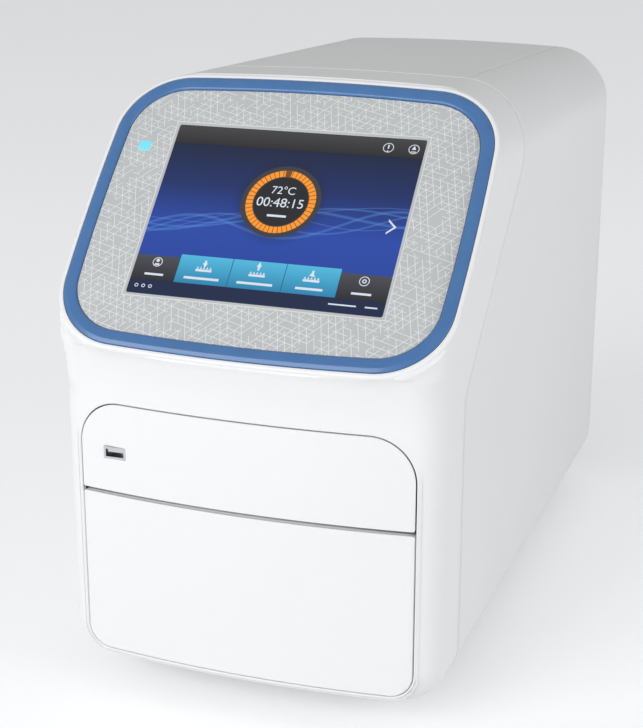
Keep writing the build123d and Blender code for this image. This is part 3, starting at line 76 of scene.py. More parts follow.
def rim_loop(half_w, half_h):
    """Points (x, v) all round the display outline: each quarter runs along its side arc, its corner
    arc and its top arc by even angles, and the other quarters mirror it."""
    side, corner, top, first, second = rim_arcs(half_w, half_h)
    arcs = (side, 0, first), (corner, first, second), (top, second, pi / 2)
    parts = []
    for (x, v, radius), start, end in arcs:
        angle = np.linspace(start, end, arc_steps, endpoint=False)
        parts.append(np.stack([x + radius * np.cos(angle), v + radius * np.sin(angle)], 1))
    quarter = np.concatenate(parts + [np.array([[0.0, half_h]])])
    back = quarter[::-1] * [-1, 1]
    half = np.concatenate([quarter, back[1:]])
    return np.concatenate([half, (half[::-1] * [1, -1])[1:-1]])


def rim_distance(x, v):
    """How far (x, v) is outside the display outline: in the corner arc's sector the distance to
    that arc, and elsewhere the greater of the distances to the side arc and the top arc."""
    side, corner, top, first, second = rim_arcs(rim_half_w, rim_half_h)
    x, v = np.abs(x), np.abs(v)
    angle = np.arctan2(v - corner[1], x - corner[0])
    to_side = np.hypot(x - side[0], v) - side[2]
    to_top = np.hypot(x, v - top[1]) - top[2]
    to_corner = np.hypot(x - corner[0], v - corner[1]) - corner[2]
    return np.where((angle > first) & (angle < second), to_corner, np.maximum(to_side, to_top))


def face_point(x, v, out):
    """Points at (x, v) on the display face, moved out along its normal."""
    y = rim_middle[1] + v * sin(tilt) - out * cos(tilt)
    z = rim_middle[2] + v * cos(tilt) + out * sin(tilt)
    return np.stack(np.broadcast_arrays(x, y, z), -1)


def meet(a, b, radius):
    """The common part of two forms given by distance, its edge rounded by a quarter circle."""
    reach = np.hypot(np.maximum(a + radius, 0), np.maximum(b + radius, 0))
    return np.minimum(-radius, np.maximum(a, b)) + reach


def straight_form(p, swell=0.0):
    """Distance to the straight body: a box section with a radius at the foot, a larger one at the
    sloping crowned top, cut by the bowed front cylinder, moved out by the swell, and by the rear
    plane, all edges rounded, and by the display face's plane."""
    x, y, z = p[..., 0], p[..., 1], p[..., 2]
    top = rim_top_z - (y - rim_top_y) * top_slope - top_crown * (x / body_half) ** 2
    middle, half = (top + body_low) / 2, (top - body_low) / 2
    radius = np.where(z > middle, top_radius, low_radius)
    qx, qz = np.abs(x) - body_half + radius, np.abs(z - middle) - half + radius
    outside = np.hypot(np.maximum(qx, 0), np.maximum(qz, 0))
    section = outside + np.minimum(np.maximum(qx, qz), 0) - radius
    front = np.hypot(x, y - bow_front - bow_radius) - bow_radius - swell
    body = meet(meet(section, front, front_radius), y - body_rear, rear_radius)
    return np.maximum(body, hood_out(p))


def chin_form(p):
    """Distance to the swell below the display: the straight body whose front grows along a hollow
    arc with height, kept under the display outline's shadow, seen from above."""
    rise = np.clip(p[..., 2] - chin_low, 0, chin_high - chin_low)
    swell = chin_radius - np.sqrt(chin_radius**2 - rise**2)
    shadow = rim_distance(p[..., 0], (p[..., 1] - rim_middle[1]) / sin(tilt)) * sin(tilt)
    return np.maximum(straight_form(p, swell), shadow)


def hood_out(p):
    """Height above the display face's plane."""
    return -(p[..., 1] - rim_middle[1]) * cos(tilt) + (p[..., 2] - rim_middle[2]) * sin(tilt)


def hood_form(p):
    """Distance to the hood: the display outline, drawn in a little with depth behind its face, and
    cut by the face with a rounded edge."""
    out = hood_out(p)
    v = (p[..., 1] - rim_middle[1]) * sin(tilt) + (p[..., 2] - rim_middle[2]) * cos(tilt)
    side = rim_distance(p[..., 0], v) - out * hood_taper
    return np.maximum(meet(side, out, rim_edge), -hood_depth - out)


def slope_of(form, p):
    """The form's value and its gradient by central differences of 10 micrometres."""
    step = 1e-5
    parts = [(form(p + step * e) - form(p - step * e)) / (2 * step) for e in np.eye(3)]
    return form(p), np.stack(parts, -1)


def blend_forms(a, b, slope_a, slope_b, near_rim):
    """The two forms joined, with a fillet in the crease whose size falls to nothing where their
    surfaces run the same way: 1 minus the cosine between the gradients scales it."""
    length = np.linalg.norm(slope_a, axis=-1) * np.linalg.norm(slope_b, axis=-1) + 1e-9
    turn = 1 - (slope_a * slope_b).sum(-1) / length
    reach = crease_radius * np.clip(crease_gain * turn * near_rim, 1e-4, 1)
    nearness = np.clip(0.5 + 0.5 * (b - a) / reach, 0, 1)
    return b + (a - b) * nearness - reach * nearness * (1 - nearness)


def casing_form(p):
    """Distance to the whole casing: body and swell joined, then the hood joined to both. The fillet
    lies under the rim's front corners, and fades out with height and with depth behind the face."""
    near_rim = np.clip((fade_z - p[..., 2]) / fade_height, 0, 1)
    near_rim = near_rim * np.clip((fade_back + hood_out(p)) / fade_depth, 0, 1)
    body, body_slope = slope_of(straight_form, p)
    chin, chin_slope = slope_of(chin_form, p)
    hood, hood_slope = slope_of(hood_form, p)
    lower = blend_forms(body, chin, body_slope, chin_slope, near_rim)
    slope = np.where((body < chin)[..., None], body_slope, chin_slope)
    return blend_forms(lower, hood, slope, hood_slope, near_rim)


def settle(p, keep=(1, 1, 1), form=casing_form, steps=14):
    """Moves points along the form's gradient until they lie on its surface. The longest step keeps
    points from flying off where the gradient is small. Axes with keep 0 stay."""
    p = np.array(p, float)
    for _ in range(steps):
        value, slope = slope_of(form, p)
        slope = slope * np.array(keep)
        move = (value / ((slope**2).sum(-1) + 1e-12))[..., None] * slope
        length = np.linalg.norm(move, axis=-1, keepdims=True)
        p = p - move * np.minimum(1, longest_step / (length + 1e-12))
    return p


def along(path, count):
    """Points at even steps along a path: its start, and count in all, without its end."""
    path = np.asarray(path, float)
    length = np.concatenate([[0], np.cumsum(np.linalg.norm(np.diff(path, axis=0), axis=1))])
    places = np.arange(count) / count * length[-1]
    return np.stack([np.interp(places, length, column) for column in path.T], 1)


def stretches(loop, keys, counts):
    """A closed loop cut at its key points into stretches with even steps, counts[k] steps in
    stretch k, joined again into one closed loop."""
    parts = []
    for k, count in enumerate(counts):
        start, end = keys[k], keys[(k + 1) % len(keys)]
        run = np.arange(start, end + 1) if end > start else np.arange(start, end + len(loop) + 1)
        parts.append(along(loop[run % len(loop)], count))
    return np.concatenate(parts)


def grid_faces(grid, first=0, closed=True):
    """Four-cornered faces of a grid of rows of points, which are numbered from first. Closed rows
    join their ends."""
    rows, columns = grid.shape[:2]
    here = first + np.arange(rows * columns).reshape(rows, columns)
    if closed:
        here = np.concatenate([here, here[:, :1]], 1)
    corners = here[:-1, :-1], here[:-1, 1:], here[1:, 1:], here[1:, :-1]
    return np.stack(corners, -1).reshape(-1, 4)


def sheet_mesh(name, grid, closed=True, capped=False, smooth=50, hole=()):
    """A mesh on a grid of rows of points. A capped grid's last row meets in one point. Faces that
    turn by more than the smooth angle keep a sharp edge, and those whose middle lies in the hole
    (x and z ranges) are left out."""
    points = grid.reshape(-1, 3)
    faces = grid_faces(grid, closed=closed)
    for x0, x1, z0, z1 in hole:
        x, z = points[faces].mean(1)[:, [0, 2]].T
        faces = faces[~((x > x0) & (x < x1) & (z > z0) & (z < z1))]
    polygons = faces.tolist()
    if capped:
        tip = len(points)
        ring = np.arange(tip - grid.shape[1], tip)
        points = np.concatenate([points, grid[-1].mean(0)[None]])
        polygons += np.stack([ring, np.roll(ring, -1), np.full(len(ring), tip)], 1).tolist()
    mesh = bpy.data.meshes.new(name)
    mesh.from_pydata(points.tolist(), [], polygons)
    return dress_mesh(name, mesh, smooth)


def dress_mesh(name, mesh, smooth=50):
    """Puts a mesh into the scene with its doubles merged and its shading smooth up to an angle."""
    work = bmesh.new()
    work.from_mesh(mesh)
    bmesh.ops.remove_doubles(work, verts=work.verts, dist=2e-6)
    bmesh.ops.recalc_face_normals(work, faces=work.faces)
    work.to_mesh(mesh)
    work.free()
    mesh.shade_smooth()
    mesh.set_sharp_from_angle(angle=radians(smooth))
    thing = bpy.data.objects.new(name, mesh)
    bpy.context.scene.collection.objects.link(thing)
    return thing


def thicken(thing, wall, outwards):
    """Gives an open skin its wall. The faces are first turned so that the mean of their normals
    along the given direction points outwards, and the wall grows to the inside."""
    mesh = thing.data
    normals = np.zeros(len(mesh.polygons) * 3)
    mesh.polygons.foreach_get("normal", normals)
    areas = np.zeros(len(mesh.polygons))
    mesh.polygons.foreach_get("area", areas)
    if (normals.reshape(-1, 3) * areas[:, None]).sum(0) @ np.array(outwards) < 0:
        mesh.flip_normals()
    wall_maker = thing.modifiers.new("wall", "SOLIDIFY")
    wall_maker.thickness, wall_maker.offset = wall, -1


class Wire:
    """One output of a material's nodes. Sums and products of wires add the nodes for them."""

    def __init__(self, finish, socket):
        self.finish, self.socket = finish, socket

    def maths(self, kind, *others):
        inputs = dict(enumerate((self, *others)))
        return self.finish.node("ShaderNodeMath", {"operation": kind}, inputs)

    def __add__(self, other):
        return self.maths("ADD", other)

    def __sub__(self, other):
        return self.maths("SUBTRACT", other)

    def __mul__(self, other):
        return self.maths("MULTIPLY", other)

    def __truediv__(self, other):
        return self.maths("DIVIDE", other)

    def __gt__(self, other):
        return self.maths("GREATER_THAN", other)

    def __lt__(self, other):
        return self.maths("LESS_THAN", other)

    def __rsub__(self, other):
        return (self * -1).maths("ADD", other)

    __radd__, __rmul__ = __add__, __mul__


class Finish:
    """A material under way: one method adds any node, and the shader's own sockets are set last."""

    def __init__(self, name, **sockets):
        self.material = bpy.data.materials.new(name)
        self.material.use_nodes = True
        self.shader = self.material.node_tree.nodes["Principled BSDF"]
        self.set(**sockets)

    def node(self, kind, settings=None, inputs=None, out=0):
        made = self.material.node_tree.nodes.new(kind)
        for key, value in (settings or {}).items():
            if key == "stops":
                ramp = made.color_ramp
                while len(ramp.elements) < len(value):
                    ramp.elements.new(1)
                for stop, (place, colour) in zip(ramp.elements, value):
                    stop.position, stop.color = place, (*colour, 1)
            else:
                setattr(made, key, value)
        for key, value in (inputs or {}).items():
            self.feed(made.inputs[key], value)
        return Wire(self, made.outputs[out])

    def feed(self, socket, value):
        if isinstance(value, Wire):
            self.material.node_tree.links.new(value.socket, socket)
        elif hasattr(socket.default_value, "__len__"):
            short = len(socket.default_value) == 4 and len(value) == 3
            socket.default_value = (*value, 1) if short else value
        else:
            socket.default_value = value

    def set(self, **sockets):
        for key, value in sockets.items():
            self.feed(self.shader.inputs[key.replace("_", " ").title()], value)
        return self

    def place(self):
        """Object coordinates."""
        return self.node("ShaderNodeTexCoord", out=3)

    def length_along(self, axis):
        """How far a point lies along an axis."""
        inputs = {0: self.place(), 1: axis}
        return self.node("ShaderNodeVectorMath", {"operation": "DOT_PRODUCT"}, inputs, 1)

    def noise(self, where, scale, detail=3, roughness=0.5):
        return self.node("ShaderNodeTexNoise", {}, {0: where, 2: scale, 3: detail, 4: roughness})

    def mix(self, part, first, second):
        """A colour between two, by part."""
        return self.node("ShaderNodeMix", {"data_type": "RGBA"}, {0: part, 6: first, 7: second}, 2)

    def bump(self, height, depth):
        inputs = {"Strength": 1.0, "Distance": depth, "Height": height}
        return self.node("ShaderNodeBump", {}, inputs)

    def spread(self, wire, low, high):
        """A value from 0 to 1 carried to the range from low to high."""
        return wire * (high - low) + low


def rgb(red, green, blue):
    """A colour given as it looks on a screen, 0 to 255, in the linear values that nodes take."""
    parts = [c / 255 for c in (red, green, blue)]
    return tuple(c / 12.92 if c <= 0.04045 else ((c + 0.055) / 1.055) ** 2.4 for c in parts)


def moulded(name, colour, roughness=0.34, grain=0.00004, size=1500):
    """Moulded plastic: a fine even grain in the surface, faint flow marks in gloss and in tone."""
    finish = Finish(name)
    where = finish.place()
    flow = finish.noise(where, 9, 2)
    darker, lighter = (tuple(min(c * part, 1) for c in colour) for part in (0.985, 1.015))
    tone = finish.mix(flow, darker, lighter)
    fine = finish.noise(where, size, 2)
    finish.set(base_color=tone, roughness=finish.spread(flow, roughness - 0.04, roughness + 0.04))
    return finish.set(normal=finish.bump(fine, grain))


white_front = moulded("satin_white_front", rgb(246, 247, 248))
white_panel = moulded("satin_white_panels", rgb(243, 244, 245), 0.38)


def rounded_path(points, radii):
    """A path with its inner corners rounded: each corner point gives way to an arc that touches
    both legs, at the radius times the tangent of half the turn from the corner."""
    points = np.array(points, float)
    parts = [points[:1]]
    for k, radius in enumerate(radii, 1):
        first, second = points[k - 1] - points[k], points[k + 1] - points[k]
        first, second = first / np.linalg.norm(first), second / np.linalg.norm(second)
        inner = acos(np.clip(first @ second, -1, 1))
        inwards = (first + second) / np.linalg.norm(first + second)
        centre = points[k] + inwards * radius / sin(inner / 2)
        start = points[k] + first * radius / tan(inner / 2) - centre
        end = points[k] + second * radius / tan(inner / 2) - centre
        part = np.linspace(0, 1, 13)[:, None]
        turn = pi - inner
        arc = np.sin((1 - part) * turn) * start + np.sin(part * turn) * end
        parts.append(centre + arc / sin(turn))
    return np.concatenate(parts + [points[-1:]])


seam_foot_y, front_line = -0.193, 0.214
seam_corners = [(seam_foot_y, 0.0), (seam_foot_y, 0.216), (-0.055, 0.340), (-0.035, 0.457)]
seam_path = rounded_path(seam_corners, (0.030, 0.020))


def seam_y(z):
    """Where the seam between front moulding and panels lies, by height."""
    return np.interp(z, seam_path[:, 1], seam_path[:, 0])


def half_section(counts, inset=0.0, middle=0.0, y=0.0):
    """The body's section from the foot's middle round the side to the top's middle at x = middle:
    foot line, quarter arc, side line, quarter arc and crowned top line, as (x, z)."""
    top = rim_top_z - (y - rim_top_y) * top_slope
    low, r1, r2 = body_low + inset, low_radius - inset, top_radius - inset
    half = body_half - inset
    edge = top - inset - top_crown * (1 - r2 / body_half) ** 2
    foot = np.stack([np.linspace(middle, half - r1, counts[0]), np.full(counts[0], low)], 1)
    a = np.linspace(-pi / 2, 0, counts[1])
    bottom = np.stack([half - r1 + r1 * np.cos(a), low + r1 + r1 * np.sin(a)], 1)
    side = np.stack([np.full(counts[2], half), np.linspace(low + r1, edge - r2, counts[2])], 1)
    a = np.linspace(0, pi / 2, counts[3])
    shoulder = np.stack([half - r2 + r2 * np.cos(a), edge - r2 + r2 * np.sin(a)], 1)
    x = np.linspace(half - r2, middle, counts[4])
    crown = np.stack([x, top - inset - top_crown * (x / body_half) ** 2], 1)
    return np.concatenate([foot, bottom[1:], side[1:], shoulder[1:], crown[1:]])


def side_keep(p):
    """The axes along which a panel's points may settle: x alone on the flat of the side, so that
    their heights stay, and x and z round the foot, the shoulder and the top."""
    flat = (p[..., 2] > body_low + low_radius) & (p[..., 2] < rim_top_z - 1.2 * top_radius)
    return np.stack([np.ones(flat.shape), np.zeros(flat.shape), np.where(flat, 0.0, 1.0)], -1)


def on_seam(section, gap=0.0):
    """The section's points carried to the seam, and settled on the casing there."""
    p = np.stack([section[:, 0], seam_y(section[:, 1]) + gap, section[:, 1]], 1)
    for _ in range(4):
        p = settle(p, side_keep(p), steps=2)
        p[:, 1] = seam_y(p[:, 2]) + gap
    return p


seam_right = on_seam(half_section((14, 10, 90, 26, 24)))
above = seam_right[:, 2] > front_line
key_low = settle([[body_half, seam_foot_y, front_line]], (1, 0, 0))[0]
seam_upper = np.concatenate([[key_low], seam_right[above]])
shoulder_z = rim_top_z - top_radius * (1 - sin(pi / 4))
split = int(np.argmax(seam_upper[:, 2] > shoulder_z))
side_right, top_right = seam_upper[: split + 1], seam_upper[split:]
flip_x = np.array([-1, 1, 1])
top_run = np.concatenate([top_right, (top_right[::-1] * flip_x)[1:]])
guess_inset, guess_y, guess_turn = 0.002, -0.236, 0.03
share = np.linspace(-1, 1, 241)
guess_x, guess_back = share * (body_half - guess_inset), guess_y + guess_turn * np.abs(share) ** 8
front_run = settle(np.stack([guess_x, guess_back, np.full(len(share), front_line)], 1), (1, 1, 0))
front_run = np.concatenate([[key_low * flip_x], front_run, [key_low]])
front_run = front_run[np.concatenate([[True], np.diff(front_run[:, 0]) > 1e-6])]
front_run[-1] = key_low

edge_steps, top_steps, side_steps, low_steps, foot_steps = 110, 110, 84, 70, 96
hood_counts = (top_steps, side_steps, edge_steps, side_steps)


def rim_keyed(half_w, half_h, out):
    """The display outline with its keys at the middles of its corners, right top first."""
    loop = rim_loop(half_w, half_h)
    quarter = len(loop) // 4
    corner = int(1.5 * arc_steps)
    keys = [corner, 2 * quarter - corner, 2 * quarter + corner, len(loop) - corner]
    run = stretches(loop, keys, hood_counts)
    return face_point(run[:, 0], run[:, 1], out)


hood_outer = np.concatenate([
    along(top_run, top_steps),
    along(side_right[::-1] * flip_x, side_steps),
    along(front_run, edge_steps),
    along(side_right, side_steps),
])


def spread_grid(rows, outer, count):
    """The rows, and a grid that goes on from the last of them to the outer run in even steps,
    settled on the casing."""
    steps = np.linspace(0, 1, count)[1:, None, None]
    skirt = settle(rows[-1][None] + (outer - rows[-1])[None] * steps)
    skirt[-1] = outer
    return np.concatenate([np.stack(rows), skirt])


ring_gap, rim_width = 0.0004, 0.0037
recess_depth, recess_floor, recess_edge = 0.0022, 0.012, 0.0004
recess_w, recess_h = rim_half_w - rim_width + ring_gap, rim_half_h - rim_width + ring_gap
hood_rows = [
    rim_keyed(recess_w - recess_floor, recess_h - recess_floor, -recess_depth),
    rim_keyed(recess_w, recess_h, -recess_depth),
]
for angle in np.linspace(0, pi / 2, 4):
    grow = recess_edge * (1 - cos(angle))
    hood_rows.append(rim_keyed(recess_w + grow, recess_h + grow, -recess_edge * (1 - sin(angle))))
for angle in np.linspace(0, pi / 2, 6):
    grow = rim_edge * (sin(angle) - 1)
    hood_rows.append(rim_keyed(rim_half_w + grow, rim_half_h + grow, -rim_edge * (1 - cos(angle))))
hood_grid = spread_grid(hood_rows, hood_outer, 44)

window_half, window_low, window_high = 0.1145, 0.0265, 0.203
window_low_radius, window_high_radius = 0.016, 0.030


def bow(x):
    """How far back the bowed front lies at x."""
    return bow_front + bow_radius - np.sqrt(bow_radius**2 - x**2)


def soft_box(half, low, high, low_r, high_r, counts):
    """An upright rectangle's outline (x, z) with its own radii at foot and top, right top first:
    its keys are the corners' middles, and each stretch between them has even steps."""
    upper, lower = (high, high_r), (low, low_r)
    parts = []
    for turn, (x, (z, radius)) in enumerate(
        ((half, upper), (-half, upper), (-half, lower), (half, lower))
    ):
        angle = np.linspace(turn * pi / 2, (turn + 1) * pi / 2, 21)
        cx, cz = x - np.sign(x) * radius, z - radius if turn < 2 else z + radius
        parts.append(np.stack([cx + radius * np.cos(angle), cz + radius * np.sin(angle)], 1))
    loop = np.concatenate(parts)
    return stretches(loop, [10, 31, 52, 73], counts)


front_counts = (edge_steps, low_steps, foot_steps, low_steps)


def window_row(grow, back):
    """The drawer window's outline, grown, on the bowed front moved back."""
    run = soft_box(
        window_half + grow, window_low - grow, window_high + grow,
        window_low_radius + grow, window_high_radius + grow, front_counts,
    )
    return np.stack([run[:, 0], bow(run[:, 0]) + back, run[:, 1]], 1)


corner_low = int(np.argmax(seam_right[:, 2] > body_low + low_radius * (1 - sin(pi / 4))))
foot_right, side_low = seam_right[: corner_low + 1], seam_right[corner_low:]
side_low = np.concatenate([side_low[side_low[:, 2] < front_line - 1e-4], [key_low]])
foot_run = np.concatenate([foot_right[::-1] * flip_x, foot_right[1:]])
front_outer = np.concatenate([
    [key_low],
    along(front_run, edge_steps)[:0:-1],
    along(side_low[::-1] * flip_x, low_steps),
    along(foot_run, foot_steps),
    along(side_low, low_steps),
])
window_depth, window_edge = 0.004, 0.0008
front_rows = [window_row(0.0, window_depth), window_row(0.0, window_edge)]
for angle in np.linspace(0.3, pi / 2, 4):
    front_rows.append(window_row(window_edge * (1 - cos(angle)), window_edge * (1 - sin(angle))))
front_grid = spread_grid(front_rows, front_outer, 40)

moulding = bpy.data.meshes.new("front_moulding")
moulding.from_pydata(
    np.concatenate([hood_grid.reshape(-1, 3), front_grid.reshape(-1, 3)]).tolist(), [],
    np.concatenate([grid_faces(hood_grid), grid_faces(front_grid, hood_grid.size // 3)]).tolist(),
)
front_moulding = dress_mesh("front_moulding", moulding, 40)
thicken(front_moulding, casing_wall, (0, -1, 0.3))
front_moulding.data.materials.append(white_front.material)
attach(front_moulding, "casing")
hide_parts("front_cover")

# Side and top panels. Moulded panels that meet the front moulding at a fine stepped seam, curl
# round the rear edge and end in a lip round the back opening. They hook on and screw from behind.
lip = 0.012
curl_turns = np.linspace(0, pi / 2, 6)[1:]
curl_steps = [(rear_radius * (1 - cos(t)), rear_radius * sin(t)) for t in curl_turns]
curl_steps.append((lip, rear_radius))


def panel_grid(section_counts, middle, keep, steps_back):
    """A panel's skin: the body's section, from x = middle, carried from the seam to the rear edge,
    round that edge on a quarter circle and inwards along the lip."""
    seam = on_seam(half_section(section_counts, middle=middle), seam_gap)[keep]
    end = body_rear - rear_radius
    rows = []
    for part in np.linspace(0, 1, steps_back):
        y = seam[:, 1] * (1 - part) + end * part
        near, far = y.min(), y.max()
        first = half_section(section_counts, middle=middle, y=near)[keep]
        last = half_section(section_counts, middle=middle, y=far)[keep]
        blend = ((y - near) / max(far - near, 1e-9))[:, None]
        section = first * (1 - blend) + last * blend
        rows.append(np.stack([section[:, 0], y, section[:, 1]], 1))
    skin = settle(np.stack(rows), side_keep(np.stack(rows)))
    skin[0] = seam
    curl = []
    for inset, reach in curl_steps:
        x, z = half_section(section_counts, inset, middle, end)[keep].T
        curl.append(np.stack([x, np.full(len(x), end + reach), z], 1))
    return np.concatenate([skin, np.stack(curl)])


seam_x = body_half - top_radius
side_grid = panel_grid((14, 12, 84, 26, 2), seam_x + seam_gap / 2, slice(None, -1), 60)
for side, name in ((1, "right_panel_skin"), (-1, "left_panel_skin")):
    panel = sheet_mesh(name, side_grid * [side, 1, 1], closed=False, smooth=40)
    thicken(panel, casing_wall, (side, 0, 0))
    panel.data.materials.append(white_panel.material)
    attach(panel, "casing")
    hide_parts("right_side_panel" if side > 0 else "left_side_panel")


def crown_height(x, y):
    """The crowned, sloping top: it falls evenly to the back and by a parabola to the sides."""
    return rim_top_z - (y - rim_top_y) * top_slope - top_crown * (x / body_half) ** 2


across = np.linspace(-(seam_x - seam_gap / 2), seam_x - seam_gap / 2, 41)
start, end = seam_y(rim_top_z + 0.001) + seam_gap, body_rear - rear_radius
x, y = np.broadcast_arrays(across[None], start + (end - start) * np.linspace(0, 1, 60)[:, None])
top_rows = [settle(np.stack([x, y, crown_height(x, y)], -1), (0, 0, 1))]
for drop, reach in curl_steps:
    place = across, np.full(len(across), end + reach), crown_height(across, end) - drop
    top_rows.append(np.stack(place, 1)[None])
top_panel = sheet_mesh("top_panel_skin", np.concatenate(top_rows), closed=False, smooth=40)
thicken(top_panel, casing_wall, (0, 0, 1))
top_panel.data.materials.append(white_panel.material)
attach(top_panel, "casing")
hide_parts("top_panel")

# Drawer front and fascia. Two moulded panels bowed like the casing, flush in the window of the
# front moulding with a fine gap all round and a finger groove between them. The front is screwed
# to the drawer and has a return edge all round, and the fascia clips into the moulding.
panel_gap, crowding = 0.0008, 0.8
drawer_low, drawer_high, drawer_low_radius, drawer_high_radius = 0.0273, 0.139, 0.0152, 0.0012
fascia_low, fascia_high, fascia_low_radius, fascia_high_radius = 0.142, 0.2022, 0.0012, 0.0292
front_wall, return_wall, front_edge = 0.0025, 0.0022, 0.0007
edge_inset, return_depth = 0.0001, 0.0204
socket_hole = (-0.0964, -0.0804, 0.1647, 0.1733)


def bowed_sheet(low, high, low_r, high_r, hole=(), across=64, up=44):
    """A panel of the bowed front: rows of even steps between its two side edges, whose reach at
    each height follows the corner circles, and rows that crowd towards the foot and the top."""
    half = window_half - panel_gap
    part = np.linspace(0, 1, up)
    z = low + (high - low) * (part - np.sin(2 * pi * part) / (2 * pi) * crowding)
    z = np.sort(np.concatenate([z, hole[2:]]))
    lift_low = np.clip(low_r - (z - low), 0, low_r)
    lift_high = np.clip(high_r - (high - z), 0, high_r)
    reach = half - low_r + np.sqrt(low_r**2 - lift_low**2)
    reach = np.minimum(reach, half - high_r + np.sqrt(high_r**2 - lift_high**2))
    share = np.sort(np.concatenate([np.linspace(-1, 1, across), np.array(hole[:2]) / half]))
    x = share[None] * reach[:, None]
    return np.stack([x, bow(x), np.broadcast_to(z[:, None], x.shape)], -1)


def soften(thing, width):
    """Rounds a piece's edges with a narrow bevel."""
    bevel = thing.modifiers.new("edge", "BEVEL")
    bevel.width, bevel.segments, bevel.limit_method = width, 2, "ANGLE"
    bevel.angle_limit = radians(40)


drawer_sizes = (drawer_low, drawer_high, drawer_low_radius, drawer_high_radius)
fascia_sizes = (fascia_low, fascia_high, fascia_low_radius, fascia_high_radius, socket_hole)
for name, node, body, sizes in (
    ("drawer_skin", "drawer_front", "drawer", drawer_sizes),
    ("fascia_skin", "upper_fascia", "casing", fascia_sizes),
):
    panel = sheet_mesh(name, bowed_sheet(*sizes), closed=False, smooth=40, hole=sizes[4:])
    thicken(panel, front_wall, (0, -1, 0))
    soften(panel, front_edge)
    panel.data.materials.append(white_front.material)
    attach(panel, body)
    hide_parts(node)

edge_run = soft_box(
    window_half - panel_gap - edge_inset, drawer_low + edge_inset, drawer_high - edge_inset,
    drawer_low_radius - edge_inset, drawer_high_radius, (70, 60, 70, 60),
)
edge_y, flat_back = bow(edge_run[:, 0]), bow_front + return_depth
edge_rows = np.stack([
    np.stack([edge_run[:, 0], edge_y + (flat_back - edge_y) * part, edge_run[:, 1]], 1)
    for part in (0.09, 0.4, 0.7, 1.0)
])
returns = sheet_mesh("drawer_skin_edge", edge_rows, smooth=40)
thicken(returns, return_wall, (0, 0, 0))
returns.data.materials.append(white_front.material)
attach(returns, "drawer")

# Trim ring. A steel-blue anodised aluminium band pressed into the recess of the rim, with a
# sloping bevel outside and a rounded edge inside.
ring_half_w, ring_half_h = 0.1313, 0.1048
ring_inner_w, ring_inner_h = 0.1231, 0.0954
ring_profile = [
    (0.0, -0.0018), (0.0, -0.0002), (0.02, 0.0001), (0.06, 0.0003), (0.26, 0.0009),
    (0.29, 0.0010), (0.33, 0.0010), (0.84, 0.0010), (0.92, 0.0008), (0.97, 0.0003),
    (1.0, -0.0003), (1.0, -0.0018),
]


def ring_row(part, out):
    """The ring's outline, part of the way from its outer to its inner edge."""
    half_w = ring_half_w + (ring_inner_w - ring_half_w) * part
    half_h = ring_half_h + (ring_inner_h - ring_half_h) * part
    run = rim_loop(half_w, half_h)
    return face_point(run[:, 0], run[:, 1], out)


ring_rows = np.stack([ring_row(*step) for step in ring_profile + ring_profile[:1]])
trim = sheet_mesh("blue_trim_band", ring_rows, smooth=60)
blue = Finish("blue_anodised_band", coat_weight=0.3, coat_roughness=0.1)
where = blue.place()
brushed = blue.noise(where, 60, 3)
blue.set(base_color=blue.mix(brushed, rgb(66, 112, 168), rgb(78, 126, 182)))
blue.set(roughness=blue.spread(brushed, 0.28, 0.38))
blue.set(normal=blue.bump(blue.noise(where, 900, 2), 0.00002))
trim.data.materials.append(blue.material)
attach(trim, "casing")
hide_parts("trim_ring")

# Bezel plate. A flat plate of satin grey plastic round the screen, silk-printed with a net of
# fine white lines and one plain line round the screen. It drops into the ring and is glued there.
plate_half_w, plate_half_h, glass_w, glass_h = 0.1227, 0.0950, 0.172, 0.1294
sunk, chamfered, flush = -0.0019, -0.0005, -0.0003
outer = rim_loop(plate_half_w, plate_half_h)
reach_x, reach_v = np.abs(outer).T
inner = outer / np.maximum(reach_x / (glass_w / 2), reach_v / (glass_h / 2))[:, None]
plate_rows = []
for out, part in (
    (sunk, 0), (chamfered, 0), (flush, 0.01), (flush, 0.99), (chamfered, 1), (sunk, 1), (sunk, 0),
):
    run = outer + (inner - outer) * part
    plate_rows.append(face_point(run[:, 0], run[:, 1], out))
plate = sheet_mesh("bezel_face", np.stack(plate_rows), smooth=30)
net = Finish("printed_grey_bezel", roughness=0.42)
up_face = (0, sin(tilt), cos(tilt))
u, v = net.length_along((1, 0, 0)), net.length_along(up_face)
pitch, line_width, cell_length, kept_share = 0.0046, 0.00046, 1.155, 0.72
line_start, frame_start, frame_end = 0.0026, 0.0018, 0.0024
lines = None
for k in range(3):
    turn = radians(15 + 60 * k)
    across_line = (u * cos(turn) + v * sin(turn)) / pitch
    along_line = (v * cos(turn) - u * sin(turn)) / (pitch * cell_length)
    nearness = (across_line.maths("FRACT") - 0.5).maths("ABSOLUTE")
    place = {0: (across_line + 0.5).maths("FLOOR"), 1: along_line.maths("FLOOR"), 2: k * 7.0}
    key = net.node("ShaderNodeCombineXYZ", {}, place)
    kept = net.node("ShaderNodeTexWhiteNoise", {"noise_dimensions": "3D"}, {0: key}) < kept_share
    line = (nearness > 0.5 - line_width / pitch / 2) * kept
    lines = line if lines is None else lines.maths("MAXIMUM", line)
tone = net.noise(net.place(), 30, 2)
ground = net.mix(tone, rgb(192, 195, 196), rgb(201, 204, 205))
height = float(rim_middle @ np.array(up_face))
frame_edge = (v - height).maths("ABSOLUTE") - glass_h / 2
frame_edge = frame_edge.maths("MAXIMUM", u.maths("ABSOLUTE") - glass_w / 2)
lines = lines * (frame_edge > line_start)
lines = lines.maths("MAXIMUM", (frame_edge > frame_start) * (frame_edge < frame_end))
net.set(base_color=net.mix(lines, ground, rgb(232, 234, 235)))
plate.data.materials.append(net.material)
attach(plate, "casing")
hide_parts("bezel_plate")

# Screen. A touch glass over a lit display, bonded behind the bezel plate. The material draws a
# running programme: a dark bar, a blue field with waves, a dial with orange teeth and buttons.
screen_w, screen_h = 0.1704, 0.1278


